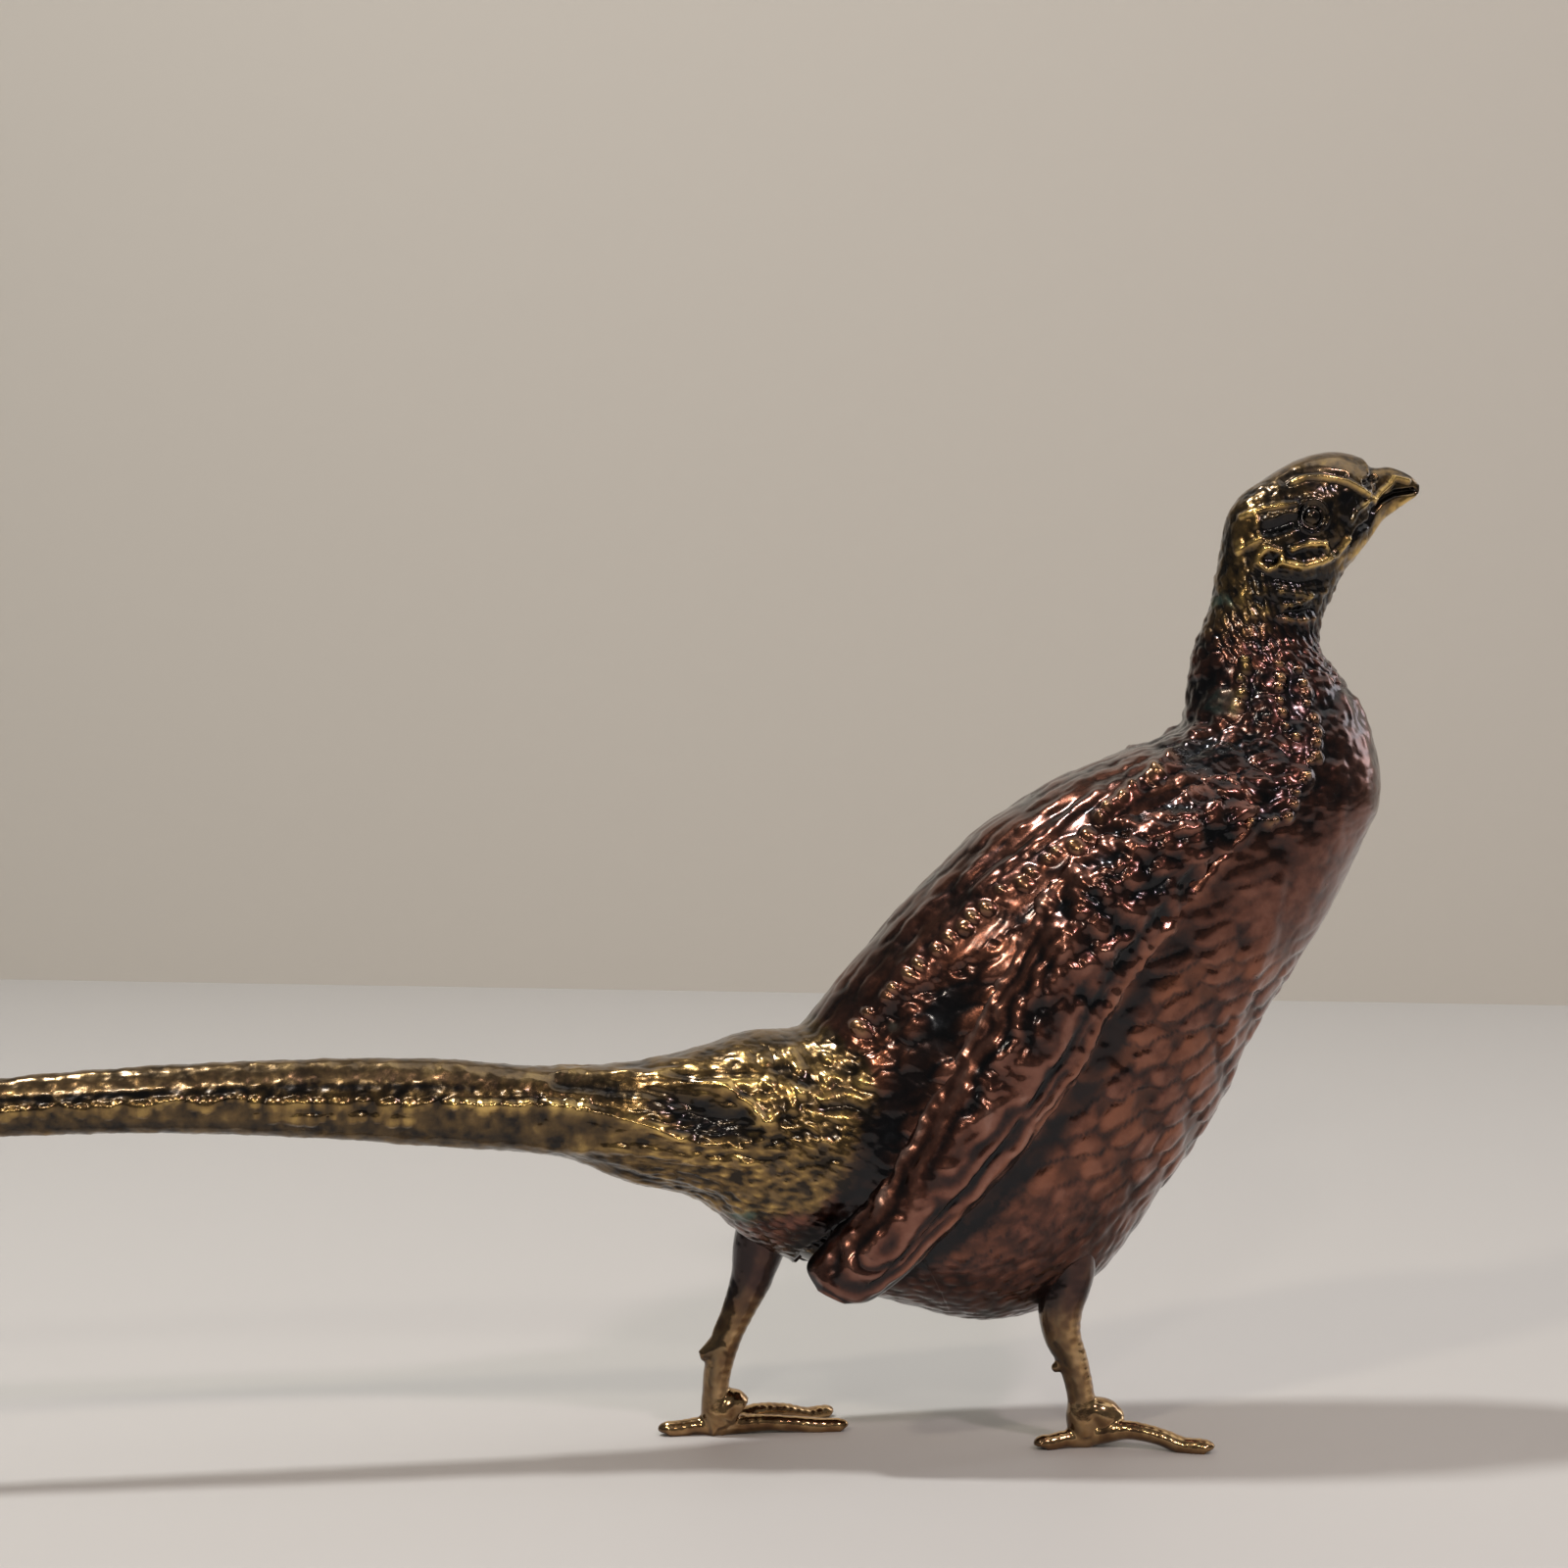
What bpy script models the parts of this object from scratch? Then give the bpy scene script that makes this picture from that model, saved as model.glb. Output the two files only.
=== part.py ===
# Bronze pheasant figurine: a striding cock pheasant, cast in one piece and standing on its own feet.
# Metres, +Z up, bill towards +X, the bird's left side towards +Y, soles on z = 0.
import math

import bmesh
import bpy
import numpy as np
from mathutils import Matrix

# Driving sizes
STANDING_HEIGHT = 0.195
HIP_SPACING = 0.022
SHANK_DIAMETER = 0.0056
TOE_DIAMETER = 0.0034
SOLE_FLAT = 0.0007
FEATHER_RELIEF = 0.0016
FEATHER_LENGTH = 0.017

# Mesh fineness
BODY_ROWS = 300
BODY_COLUMNS = 112
BODY_TRIANGLES = 5700
WING_ROWS = 90
WING_COLUMNS = 48
WING_TRIANGLES = 1150
LIMB_SIDES = 8
FEATHERS_ROUND_BODY = 18
FEATHERS_ACROSS_WING = 4

# The form, from bill to tail: back x, back z, belly x, belly z, half width,
# all in thousandths of the standing height
BODY_FORM = [
    (663, 967, 662, 957, 3),  # tip of the bill
    (651, 977, 642, 943, 9),
    (631, 984, 622, 929, 15),
    (611, 984, 607, 908, 22),  # root of the bill
    (600, 994, 596, 894, 31),  # forehead
    (570, 1000, 585, 883, 41),
    (533, 992, 577, 871, 46),  # crown
    (494, 969, 571, 860, 47),
    (463, 941, 565, 847, 46),  # nape
    (450, 885, 556, 824, 43),
    (441, 838, 556, 795, 44),  # throat
    (425, 799, 577, 769, 53),
    (416, 750, 604, 726, 72),
    (410, 719, 618, 673, 92),  # base of the neck
    (382, 704, 615, 636, 107),
    (332, 687, 601, 608, 120),  # shoulders
    (231, 637, 557, 519, 134),
    (140, 559, 496, 428, 139),
    (65, 478, 443, 328, 137),  # widest part of the body
    (24, 427, 376, 233, 131),
    (8, 418, 305, 150, 122),
    (-2, 417, 217, 120, 115),  # belly, where the body turns up to the rump
    (-15, 417, 120, 140, 106),
    (-30, 416, 35, 171, 96),
    (-50, 413, -40, 212, 83),
    (-87, 402, -88, 250, 70),  # root of the tail
    (-157, 388, -162, 271, 54),
    (-220, 385, -218, 294, 41),
    (-350, 396, -350, 310, 29),
    (-576, 396, -576, 328, 24),
    (-760, 386, -760, 330, 19),
    (-975, 364, -975, 322, 12),
    (-1120, 340, -1120, 315, 6),
    (-1171, 326, -1171, 320, 2),  # tip of the tail
]

# The folded wing, from shoulder to tip: upper edge x, z, lower edge x, z, reach of its face from
# the middle plane, half thickness
WING_FORM = [
    (425, 690, 462, 676, 106, 5),  # shoulder
    (368, 664, 468, 626, 131, 17),
    (270, 612, 412, 556, 147, 21),
    (207, 528, 330, 462, 152, 22),
    (155, 432, 275, 374, 152, 22),
    (113, 355, 215, 298, 147, 21),
    (72, 280, 152, 236, 139, 19),
    (28, 222, 98, 184, 130, 16),
    (6, 196, 64, 163, 124, 11),  # wing tip, free below the flank
    (14, 176, 40, 163, 119, 4),
]
# How far the wing's edges curve in, against its half thickness
WING_EDGE_SAG = 0.7

# Carved lines, as points x, z on the side, with depth and half width
# Depths above 0 are ridges and below 0 are grooves
CARVED_LINES = [
    ([(430, 560), (365, 500), (318, 440), (278, 362), (228, 300), (170, 244), (110, 196)], -11, 14),
    ([(190, 520), (140, 440), (96, 370), (74, 311), (52, 251), (12, 205)], -15, 17),
    ([(525, 970), (554, 972), (576, 966), (592, 955)], 6, 7),
    ([(650, 960), (625, 956), (609, 945), (597, 933), (586, 917), (577, 905)], -5, 6),
    ([(593, 921), (578, 903), (563, 889), (542, 884), (514, 883), (485, 889)], 4, 8),
    ([(453, 929), (477, 939), (511, 943)], 3, 6),
    ([(500, 852), (550, 850)], -3, 7),
    ([(495, 832), (550, 832)], -3, 6),
    ([(-142, 372), (-103, 372), (-65, 361), (-33, 338)], 7, 10),
    ([(-185, 300), (-128, 284), (-75, 290), (-36, 320)], 7, 10),
    ([(-120, 345), (-65, 330)], -14, 20),
    ([(-230, 366), (-480, 372), (-760, 366), (-1000, 348)], -6, 8),
]
EYE_CENTRE = (531, 929)
EYE_RADIUS = 17
EYE_RISE = 6

# Legs: x, z and thickness against the shank's own
REAR_LEG = [
    (22, 236, 2.4),  # hip, inside the body
    (4, 196, 1.95),
    (-12, 158, 1.5),
    (-36, 122, 1.14),
    (-50, 97, 1.08),
    (-58, 68, 1.0),
    (-61, 42, 0.95),
    (-60, 22, 1.1),
    (-57, 9, 1.0),
]
FRONT_LEG = [
    (286, 226, 2.1),  # hip, inside the body
    (285, 180, 2.1),
    (272, 138, 1.6),
    (273, 110, 1.3),
    (282, 89, 1.08),
    (288, 68, 1.0),
    (292, 48, 0.96),
    (293, 27, 1.15),
    (296, 12, 1.05),
]
# Toes: heading in degrees, forwards at 0 and away from the other leg above 0, length and arch
# in thousandths of the height, and thickness against the toe diameter
REAR_TOES = [(-4, 128, 5, 1.0), (29, 122, 12, 0.93), (68, 92, 9, 0.86), (177, 56, 3, 1.08)]
FRONT_TOES = [(8, 116, 13, 1.0), (-45, 78, 9, 0.93), (-82, 66, 7, 0.86), (173, 48, 3, 1.08)]
# Places along a toe and its swelling there
TOE_PROFILE = [(-0.1, 1.1), (0.12, 1.15), (0.35, 1.0), (0.6, 0.94), (0.8, 1.0), (0.92, 0.9), (1.0, 0.55)]
TOE_PAD = 0.78
REAR_SPUR = [(-54, 88, 0.7), (-68, 85, 0.45), (-79, 79, 0.2)]
FRONT_SPUR = [(280, 84, 0.6), (270, 82, 0.45), (262, 78, 0.25)]


def share(thousandths):
    """A length of the figure, from thousandths of its standing height."""
    return thousandths * 0.001 * STANDING_HEIGHT


def smooth_step(low, high, value):
    t = np.clip((value - low) / (high - low), 0, 1)
    return t * t * (3 - 2 * t)


def smooth_through(stations, rows):
    """A smooth curve through the stations, read at evenly spaced rows."""
    p = np.array(stations, float)
    step = np.linalg.norm(np.diff(p, axis=0), axis=1) ** 0.6
    knots = np.concatenate([[0], np.cumsum(step)])
    slope = np.diff(p, axis=0) / step[:, None]
    tangent = np.vstack([slope[:1], slope[:1], slope[1:]])[: len(p)]
    before, after = step[:-1, None], step[1:, None]
    tangent[1:-1] = (slope[:-1] * after + slope[1:] * before) / (before + after)
    tangent[-1] = slope[-1]
    at = np.linspace(0, knots[-1], rows)
    i = np.clip(np.searchsorted(knots, at, side="right") - 1, 0, len(step) - 1)
    h = step[i][:, None]
    t = ((at - knots[i]) / step[i])[:, None]
    return (
        (2 * t**3 - 3 * t**2 + 1) * p[i]
        + (t**3 - 2 * t**2 + t) * h * tangent[i]
        + (3 * t**2 - 2 * t**3) * p[i + 1]
        + (t**3 - t**2) * h * tangent[i + 1]
    )


def grid_normals(points):
    """Outward normals of a closed tube given as rows of rings."""
    around = np.roll(points, -1, axis=1) - np.roll(points, 1, axis=1)
    along = np.gradient(points, axis=0)
    normal = np.cross(along, around)
    length = np.linalg.norm(normal, axis=2, keepdims=True)
    return normal / np.maximum(length, 1e-12)


def distance_along(points):
    """How far each point lies from the first ring, along its own column."""
    steps = np.linalg.norm(np.diff(points, axis=0), axis=2)
    return np.vstack([np.zeros((1, points.shape[1])), np.cumsum(steps, axis=0)])


def line_bell(x, z, line, half_width):
    """1 on a carved line and 0 beyond its half width, in side view."""
    nearest = np.full(x.shape, 1e9)
    for (ax, az), (bx, bz) in zip(line[:-1], line[1:]):
        length_squared = (bx - ax) ** 2 + (bz - az) ** 2
        t = np.clip(((x - ax) * (bx - ax) + (z - az) * (bz - az)) / length_squared, 0, 1)
        nearest = np.minimum(nearest, np.hypot(x - ax - t * (bx - ax), z - az - t * (bz - az)))
    return 1 - smooth_step(0, half_width, nearest)


def feather_rows(along, across, length):
    """Height from 0 to 1 of feathers that lie like roof tiles, each rising to its round tip."""
    pitch = length * 0.55
    height = np.zeros(along.shape)
    first = np.floor(along / pitch)
    for back in range(-1, 3):
        row = first - back
        shift = across + 0.5 * (row % 2)
        side = 2 * (shift - np.floor(shift)) - 1
        progress = (along - row * pitch) / length
        outline = 1 - (1 - np.sqrt(np.clip(1 - side**2, 0, 1))) * 0.45
        inside = smooth_step(0, 0.1, outline - progress) * (progress > 0)
        height = np.maximum(height, inside * progress / outline)
    return height


def body_rings():
    """The smooth body, before carving: rings round the bird from its bill to its tail."""
    form = smooth_through([[share(v) for v in station] for station in BODY_FORM], BODY_ROWS)
    angle = np.linspace(0, 2 * math.pi, BODY_COLUMNS, endpoint=False)
    back, belly = form[:, None, 0:2], form[:, None, 2:4]
    centre = (back + belly) / 2
    side_view = centre + (back - belly) / 2 * np.cos(angle)[None, :, None]
    y = -form[:, None, 4] * np.sin(angle)[None, :]
    return np.dstack([side_view[..., 0], y, side_view[..., 1]]), angle


def body_relief(points, angle):
    """How far each point of the body moves out or in, in metres."""
    x, z = points[..., 0] / share(1), points[..., 2] / share(1)
    flank = np.abs(np.sin(angle))[None, :] ** 0.5
    relief = np.zeros(x.shape)
    for line, depth, half_width in CARVED_LINES:
        relief += share(depth) * line_bell(x, z, line, half_width) * flank
    eye = np.hypot(x - EYE_CENTRE[0], z - EYE_CENTRE[1]) / EYE_RADIUS
    relief += share(EYE_RISE) * np.sqrt(np.clip(1 - eye**2, 0, 1)) * flank
    plumage = smooth_step(760, 690, z) * smooth_step(-100, -40, x)
    breast = smooth_step(0.25, 0.6, (z - 120) / 560 - (x - 330) / 420 + 0.55)
    rows = feather_rows(distance_along(points), FEATHERS_ROUND_BODY * angle / (2 * math.pi), FEATHER_LENGTH)
    relief += FEATHER_RELIEF * (rows - 0.5) * plumage * (0.35 + 0.65 * breast)
    return relief


def wing_rings(side):
    """One folded wing as a long pad whose inner half is sunk in the body. side is 1 on the bird's left."""
    form = smooth_through([[share(v) for v in station] for station in WING_FORM], WING_ROWS)
    angle = np.linspace(0, 2 * math.pi, WING_COLUMNS, endpoint=False)
    across, out = np.cos(angle)[None, :, None], -np.sin(angle)[None, :]
    upper, lower = form[:, None, 0:2], form[:, None, 2:4]
    flat = (upper + lower) / 2 + (upper - lower) / 2 * across
    reach, half_thickness = form[:, None, 4], form[:, None, 5]
    y = reach + half_thickness * (out - 1 - WING_EDGE_SAG * across[..., 0] ** 2)
    points = np.dstack([flat[..., 0], y, flat[..., 1]])
    width = (across[..., 0] + 1) / 2 * FEATHERS_ACROSS_WING
    rows = feather_rows(distance_along(points), width, FEATHER_LENGTH * 2)
    down = np.linspace(0, 1, WING_ROWS)[:, None]
    ends = smooth_step(0, 0.15, down) * smooth_step(1, 0.85, down)
    points = points + grid_normals(points) * (FEATHER_RELIEF * rows * ends * np.clip(out, 0, 1))[..., None]
    points[..., 1] *= side
    return points if side > 0 else points[:, ::-1]


def tube_rings(path, sides):
    """Rings round a path of points x, y, z, radius."""
    p = np.array(path, float)
    heading = np.gradient(p[:, :3], axis=0)
    heading /= np.linalg.norm(heading, axis=1, keepdims=True)
    lying = np.abs(heading[:, 2]).max() < 0.75
    reference = (0.0, 0.0, 1.0) if lying else (0.0, 1.0, 0.0)
    first = np.cross(heading, np.broadcast_to(reference, heading.shape))
    first /= np.linalg.norm(first, axis=1, keepdims=True)
    second = np.cross(heading, first)
    angle = np.linspace(0, 2 * math.pi, sides, endpoint=False)[None, :, None]
    radius = p[:, None, 3:4]
    return p[:, None, :3] + radius * (np.cos(angle) * first[:, None] + np.sin(angle) * second[:, None])


def closed_mesh(name, rings, material, stand, triangles=None):
    """An object from rows of rings, closed by a fan at each end."""
    mesh = bpy.data.meshes.new(name)
    shell = bmesh.new()
    rows = [[shell.verts.new(point) for point in ring] for ring in rings]
    count = len(rows[0])
    for near, far in zip(rows[:-1], rows[1:]):
        for k in range(count):
            shell.faces.new((near[k], near[k - 1], far[k - 1], far[k]))
    for ring, order in ((rows[0], 1), (rows[-1], -1)):
        pole = shell.verts.new(sum((v.co for v in ring[1:]), ring[0].co.copy()) / count)
        for k in range(count):
            shell.faces.new((pole, ring[k - 1], ring[k])[::order])
    bmesh.ops.recalc_face_normals(shell, faces=shell.faces)
    shell.to_mesh(mesh)
    shell.free()
    mesh.shade_smooth()
    mesh.materials.append(material)
    thing = bpy.data.objects.new(name, mesh)
    thing.parent = stand
    bpy.context.scene.collection.objects.link(thing)
    if triangles:
        decimate = thing.modifiers.new("fewer faces", "DECIMATE")
        decimate.ratio = min(1, triangles / (2 * len(rings) * count))
    return thing


def limb(name, path, side, material, stand):
    """A leg or spur in the plane of its hip."""
    y = side * HIP_SPACING / 2
    points = [(share(x), y, share(z), k * SHANK_DIAMETER / 2) for x, z, k in path]
    return closed_mesh(name, tube_rings(points, LIMB_SIDES), material, stand)


def toe(name, ankle, side, form, material, stand):
    """A toe that arches from the ankle to a flat pad near its tip."""
    heading, length, arch, girth = form
    turn = math.radians(heading) * side
    path = []
    for t, swelling in TOE_PROFILE:
        radius = TOE_DIAMETER / 2 * girth * swelling
        reach = share(length) * t
        rise = share(arch) * math.sin(math.pi * min(max(t / TOE_PAD, 0), 1))
        x = share(ankle[0]) + reach * math.cos(turn)
        y = side * HIP_SPACING / 2 + reach * math.sin(turn)
        path.append((x, y, radius - SOLE_FLAT * girth + rise, radius))
    return closed_mesh(name, tube_rings(path, LIMB_SIDES), material, stand)


def join_into(body, others, operation):
    for other in others:
        other.hide_render = True
        other.display_type = "WIRE"
        join = body.modifiers.new(operation.lower() + " " + other.name, "BOOLEAN")
        join.operation = operation
        join.solver = "EXACT"
        join.object = other


def ground_cutter(material, stand):
    """A block under the feet, which cuts their soles flat."""
    bpy.ops.mesh.primitive_cube_add(size=1)
    block = bpy.context.object
    block.name = "ground_cutter"
    depth = share(100)
    block.data.transform(Matrix.Diagonal((share(2400), share(1000), depth, 1)))
    block.data.transform(Matrix.Translation((0, 0, -depth / 2)))
    block.data.materials.append(material)
    block.parent = stand
    return block


def stand_point():
    """The frame of the figure, set so that the origin is under the middle of its length."""
    stand = bpy.data.objects.new("stand_point", None)
    bpy.context.scene.collection.objects.link(stand)
    bill_tip, tail_tip = BODY_FORM[0][0], BODY_FORM[-1][0]
    stand.location.x = -share((bill_tip + tail_tip) / 2)
    return stand


def bronze():
    material = bpy.data.materials.new("patinated bronze")
    material.use_nodes = True
    shader = material.node_tree.nodes["Principled BSDF"]
    shader.inputs["Base Color"].default_value = (0.16, 0.07, 0.045, 1)
    shader.inputs["Metallic"].default_value = 0.9
    shader.inputs["Roughness"].default_value = 0.3
    return material


def main():
    for thing in list(bpy.data.objects):
        bpy.data.objects.remove(thing)
    metal, stand = bronze(), stand_point()
    rings, angle = body_rings()
    rings = rings + grid_normals(rings) * body_relief(rings, angle)[..., None]
    bird = closed_mesh("pheasant", rings, metal, stand, BODY_TRIANGLES)
    added = [
        closed_mesh("left_wing_form", wing_rings(1), metal, stand, WING_TRIANGLES),
        closed_mesh("right_wing_form", wing_rings(-1), metal, stand, WING_TRIANGLES),
        limb("rear_leg_form", REAR_LEG, 1, metal, stand),
        limb("front_leg_form", FRONT_LEG, -1, metal, stand),
        limb("rear_spur_form", REAR_SPUR, 1, metal, stand),
        limb("front_spur_form", FRONT_SPUR, -1, metal, stand),
    ]
    for k, form in enumerate(REAR_TOES):
        added.append(toe(f"rear_toe_form_{k}", REAR_LEG[-1], 1, form, metal, stand))
    for k, form in enumerate(FRONT_TOES):
        added.append(toe(f"front_toe_form_{k}", FRONT_LEG[-1], -1, form, metal, stand))
    join_into(bird, added, "UNION")
    join_into(bird, [ground_cutter(metal, stand)], "DIFFERENCE")


main()
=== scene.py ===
import math

import bpy
import numpy as np
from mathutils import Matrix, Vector, noise


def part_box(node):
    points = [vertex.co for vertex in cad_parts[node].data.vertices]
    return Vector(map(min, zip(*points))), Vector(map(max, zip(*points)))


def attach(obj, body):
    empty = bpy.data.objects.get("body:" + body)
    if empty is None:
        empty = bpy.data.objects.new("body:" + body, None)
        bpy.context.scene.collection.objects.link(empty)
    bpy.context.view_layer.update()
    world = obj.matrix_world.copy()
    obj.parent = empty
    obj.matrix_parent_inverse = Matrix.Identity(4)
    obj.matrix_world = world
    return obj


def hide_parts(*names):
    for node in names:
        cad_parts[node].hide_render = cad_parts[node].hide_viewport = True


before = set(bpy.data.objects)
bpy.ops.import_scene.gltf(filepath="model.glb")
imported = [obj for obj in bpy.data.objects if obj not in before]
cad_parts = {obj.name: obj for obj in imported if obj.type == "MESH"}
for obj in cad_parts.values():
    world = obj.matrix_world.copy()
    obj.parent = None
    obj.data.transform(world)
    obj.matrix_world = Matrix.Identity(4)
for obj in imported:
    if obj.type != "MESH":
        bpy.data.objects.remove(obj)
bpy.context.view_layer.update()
low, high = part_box("pheasant")

# The figure is written in thousandths of its standing height: x forwards, z up, and x = 0 under the rump.
figure = {
    "billTip": 663,
    "tailTip": -1171,
    "hipSpacing": 0.022,  # metres, as in the casting
    "shankDiameter": 0.0056,
    "toeDiameter": 0.0034,
    "soleFlat": 0.0007,
}
unit = (high.x - low.x) / (figure["billTip"] - figure["tailTip"])
originX = high.x - figure["billTip"] * unit
mm = 0.001
hashStep, hashAside, hashSpread = 12.9898, 78.233, 43758.5453  # the usual numbers of a sine hash

# From bill to tail: back x, back z, belly x, belly z, half width.
bodyForm = [
    (663, 967, 662, 957, 3),  # tip of the bill
    (651, 977, 642, 943, 9),
    (631, 984, 622, 929, 15),
    (611, 984, 607, 908, 22),  # root of the bill
    (600, 994, 596, 894, 31),  # forehead
    (570, 1000, 585, 883, 41),
    (533, 992, 577, 871, 46),  # crown
    (494, 969, 571, 860, 47),
    (463, 941, 565, 847, 46),  # nape
    (450, 885, 556, 824, 43),
    (441, 838, 556, 795, 44),  # throat
    (425, 799, 577, 769, 53),
    (416, 750, 604, 726, 72),
    (410, 719, 618, 673, 92),  # base of the neck
    (382, 704, 615, 636, 107),
    (332, 687, 601, 608, 120),  # shoulders
    (231, 637, 557, 519, 134),
    (140, 559, 496, 428, 139),
    (65, 478, 443, 328, 137),  # widest part of the body
    (24, 427, 376, 233, 131),
    (8, 418, 305, 150, 122),
    (-2, 417, 217, 120, 115),  # belly, where the body turns up to the rump
    (-15, 417, 120, 140, 106),
    (-30, 416, 35, 171, 96),
    (-50, 413, -40, 212, 83),
    (-87, 402, -88, 250, 70),  # root of the tail
    (-157, 388, -162, 271, 54),
    (-220, 385, -218, 294, 41),
    (-350, 396, -350, 310, 29),
    (-576, 396, -576, 328, 24),
    (-760, 386, -760, 330, 19),
    (-975, 364, -975, 322, 12),
    (-1120, 340, -1120, 315, 6),
    (-1171, 326, -1171, 320, 2),  # tip of the tail
]
throatStation = 11


def smoothStep(start, end, value):
    t = np.clip((value - start) / (end - start), 0, 1)
    return t * t * (3 - 2 * t)


def knotsOf(points):  # closer knots where the form changes fast, as on the head
    step = np.linalg.norm(np.diff(points, axis=0), axis=1) ** 0.6
    return np.concatenate([[0], np.cumsum(step)])


def smoothThrough(stations, first=0, last=None, rows=100):
    p = np.array(stations, float)
    knots = knotsOf(p)
    step = np.diff(knots)
    slope = np.diff(p, axis=0) / step[:, None]
    tangent = np.vstack([slope[:1], slope])
    before, after = step[:-1, None], step[1:, None]
    tangent[1:-1] = (slope[:-1] * after + slope[1:] * before) / (before + after)
    places = np.arange(len(p))
    end = len(p) - 1 if last is None else last
    at = np.linspace(np.interp(first, places, knots), np.interp(end, places, knots), rows)
    i = np.clip(np.searchsorted(knots, at, side="right") - 1, 0, len(step) - 1)
    h = step[i][:, None]
    t = ((at - knots[i]) / step[i])[:, None]
    near = (2 * t**3 - 3 * t**2 + 1) * p[i] + (t**3 - 2 * t**2 + t) * h * tangent[i]
    return near + (3 * t**2 - 2 * t**3) * p[i + 1] + (t**3 - t**2) * h * tangent[i + 1]


def gridNormals(points):
    around = np.roll(points, -1, axis=1) - np.roll(points, 1, axis=1)
    normal = np.cross(np.gradient(points, axis=0), around)
    return normal / np.maximum(np.linalg.norm(normal, axis=2, keepdims=True), 1e-12)


def alongColumns(points):
    steps = np.linalg.norm(np.diff(points, axis=0), axis=2)
    return np.vstack([np.zeros((1, points.shape[1])), np.cumsum(steps, axis=0)])


def girthFromBack(points):  # distance round each ring from the middle of the back, the same on both sides
    steps = np.linalg.norm(np.diff(points, axis=1), axis=2)
    oneWay = np.hstack([np.zeros((len(points), 1)), np.cumsum(steps, axis=1)])
    total = oneWay[:, -1:] + np.linalg.norm(points[:, :1] - points[:, -1:], axis=2)
    return np.minimum(oneWay, total - oneWay)


def lineDistance(x, z, line):
    nearest = np.full(x.shape, 1e9)
    for (ax, az), (bx, bz) in zip(line[:-1], line[1:]):
        squared = (bx - ax) ** 2 + (bz - az) ** 2
        t = np.clip(((x - ax) * (bx - ax) + (z - az) * (bz - az)) / squared, 0, 1)
        nearest = np.minimum(nearest, np.hypot(x - ax - t * (bx - ax), z - az - t * (bz - az)))
    return nearest


def nearLine(x, z, line, width):  # 1 on the line, 0 from its width on
    return 1 - smoothStep(0, width, lineDistance(x, z, line))


def carve(x, z, lines):  # sum of ridges and grooves, in thousandths
    total = np.zeros(x.shape)
    for line, depth, halfWidth in lines:
        total += depth * nearLine(x, z, line, halfWidth)
    return total


def beadChain(x, z, line, spacing, radius):  # round beads along a line, 0 to 1 high, sizes in thousandths
    path = np.array(line, float)
    run = np.concatenate([[0], np.cumsum(np.hypot(*np.diff(path, axis=0).T))])
    total = np.zeros(x.shape)
    for i, at in enumerate(np.arange(spacing / 2, run[-1], spacing)):
        own = math.sin(i * hashStep + spacing) * hashSpread % 1
        other = own * 17.3 % 1
        place = at + spacing * 0.6 * (other - 0.5)
        beadX = np.interp(place, run, path[:, 0]) + radius * (own - 0.5)
        beadZ = np.interp(place, run, path[:, 1]) - radius * (own - 0.5)
        away = np.hypot(x - beadX, z - beadZ) / (radius * (0.6 + 0.7 * own))
        total = np.maximum(total, (0.55 + 0.45 * other) * np.sqrt(np.clip(1 - away**2, 0, 1)))
    return total


def lumps(points, size, seed, octaves=2):  # smooth noise from -1 to 1 on the surface
    flat = (points.reshape(-1, 3) / size + seed * 7.3).tolist()
    values = [noise.fractal(Vector(p), 0.9, 2.1, octaves) for p in flat]
    return np.array(values).reshape(points.shape[:-1])


def plume(along, across, form, seed):
    # Feathers laid like roof tiles, in metres. Each point gets its feather's lift, from 0 under the one
    # above to 1 near its own tip, its distance in from the edge, and the feather's own number, 0 to 1.
    length, width, tip = (form[key] * mm for key in ("length", "width", "tip"))
    overlap = form["overlap"]
    pitch = length * overlap
    best = {name: np.zeros(along.shape) for name in ("reach", "edge", "own")}
    firstRow = np.floor(along / pitch)
    for back in range(-1, 4):
        row = firstRow - back
        shifted = across / width + 0.5 * (row % 2)
        column = np.floor(shifted)
        own = np.sin(row * hashStep + column * hashAside + seed) * hashSpread
        own = own - np.floor(own)
        side = 2 * (shifted - column) - 1
        progress = along - (row + 0.5 * (own - 0.5)) * pitch
        outline = length - tip * (1 - np.sqrt(np.clip(1 - 0.98 * side**2, 0, 1)))
        reach = progress / outline
        edge = width / 2 * (1 - np.hypot(side, np.maximum(progress - (length - tip), 0) / tip))
        wins = (reach > best["reach"]) & (reach < 1)
        for name, value in (("reach", reach), ("edge", edge), ("own", own)):
            best[name] = np.where(wins, value, best[name])
    rise = np.clip((best["reach"] - (1 - overlap)) / overlap, 0, 1)
    pillow = smoothStep(0, form["rim"] * mm, best["edge"])
    return {"lift": rise ** 0.6 * (0.3 + 0.7 * pillow), "edge": best["edge"], "own": best["own"]}


def marksOf(height, brass, soot, tint, bloom=0):  # the values at each point that the material reads
    marks = {"relief": height, "brass": brass, "soot": soot, "tint": tint, "bloom": bloom}
    return {mark: np.clip(values, -1 if mark == "tint" else 0, 1) + np.zeros(height.shape)
            for mark, values in marks.items()}


def finishMesh(name, mesh, marks):
    for mark, values in marks.items():
        attribute = mesh.attributes.new(mark, "FLOAT", "POINT")
        attribute.data.foreach_set("value", np.asarray(values, np.float32).ravel())
    mesh.shade_smooth()
    piece = bpy.data.objects.new(name, mesh)
    bpy.context.scene.collection.objects.link(piece)
    return piece


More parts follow.
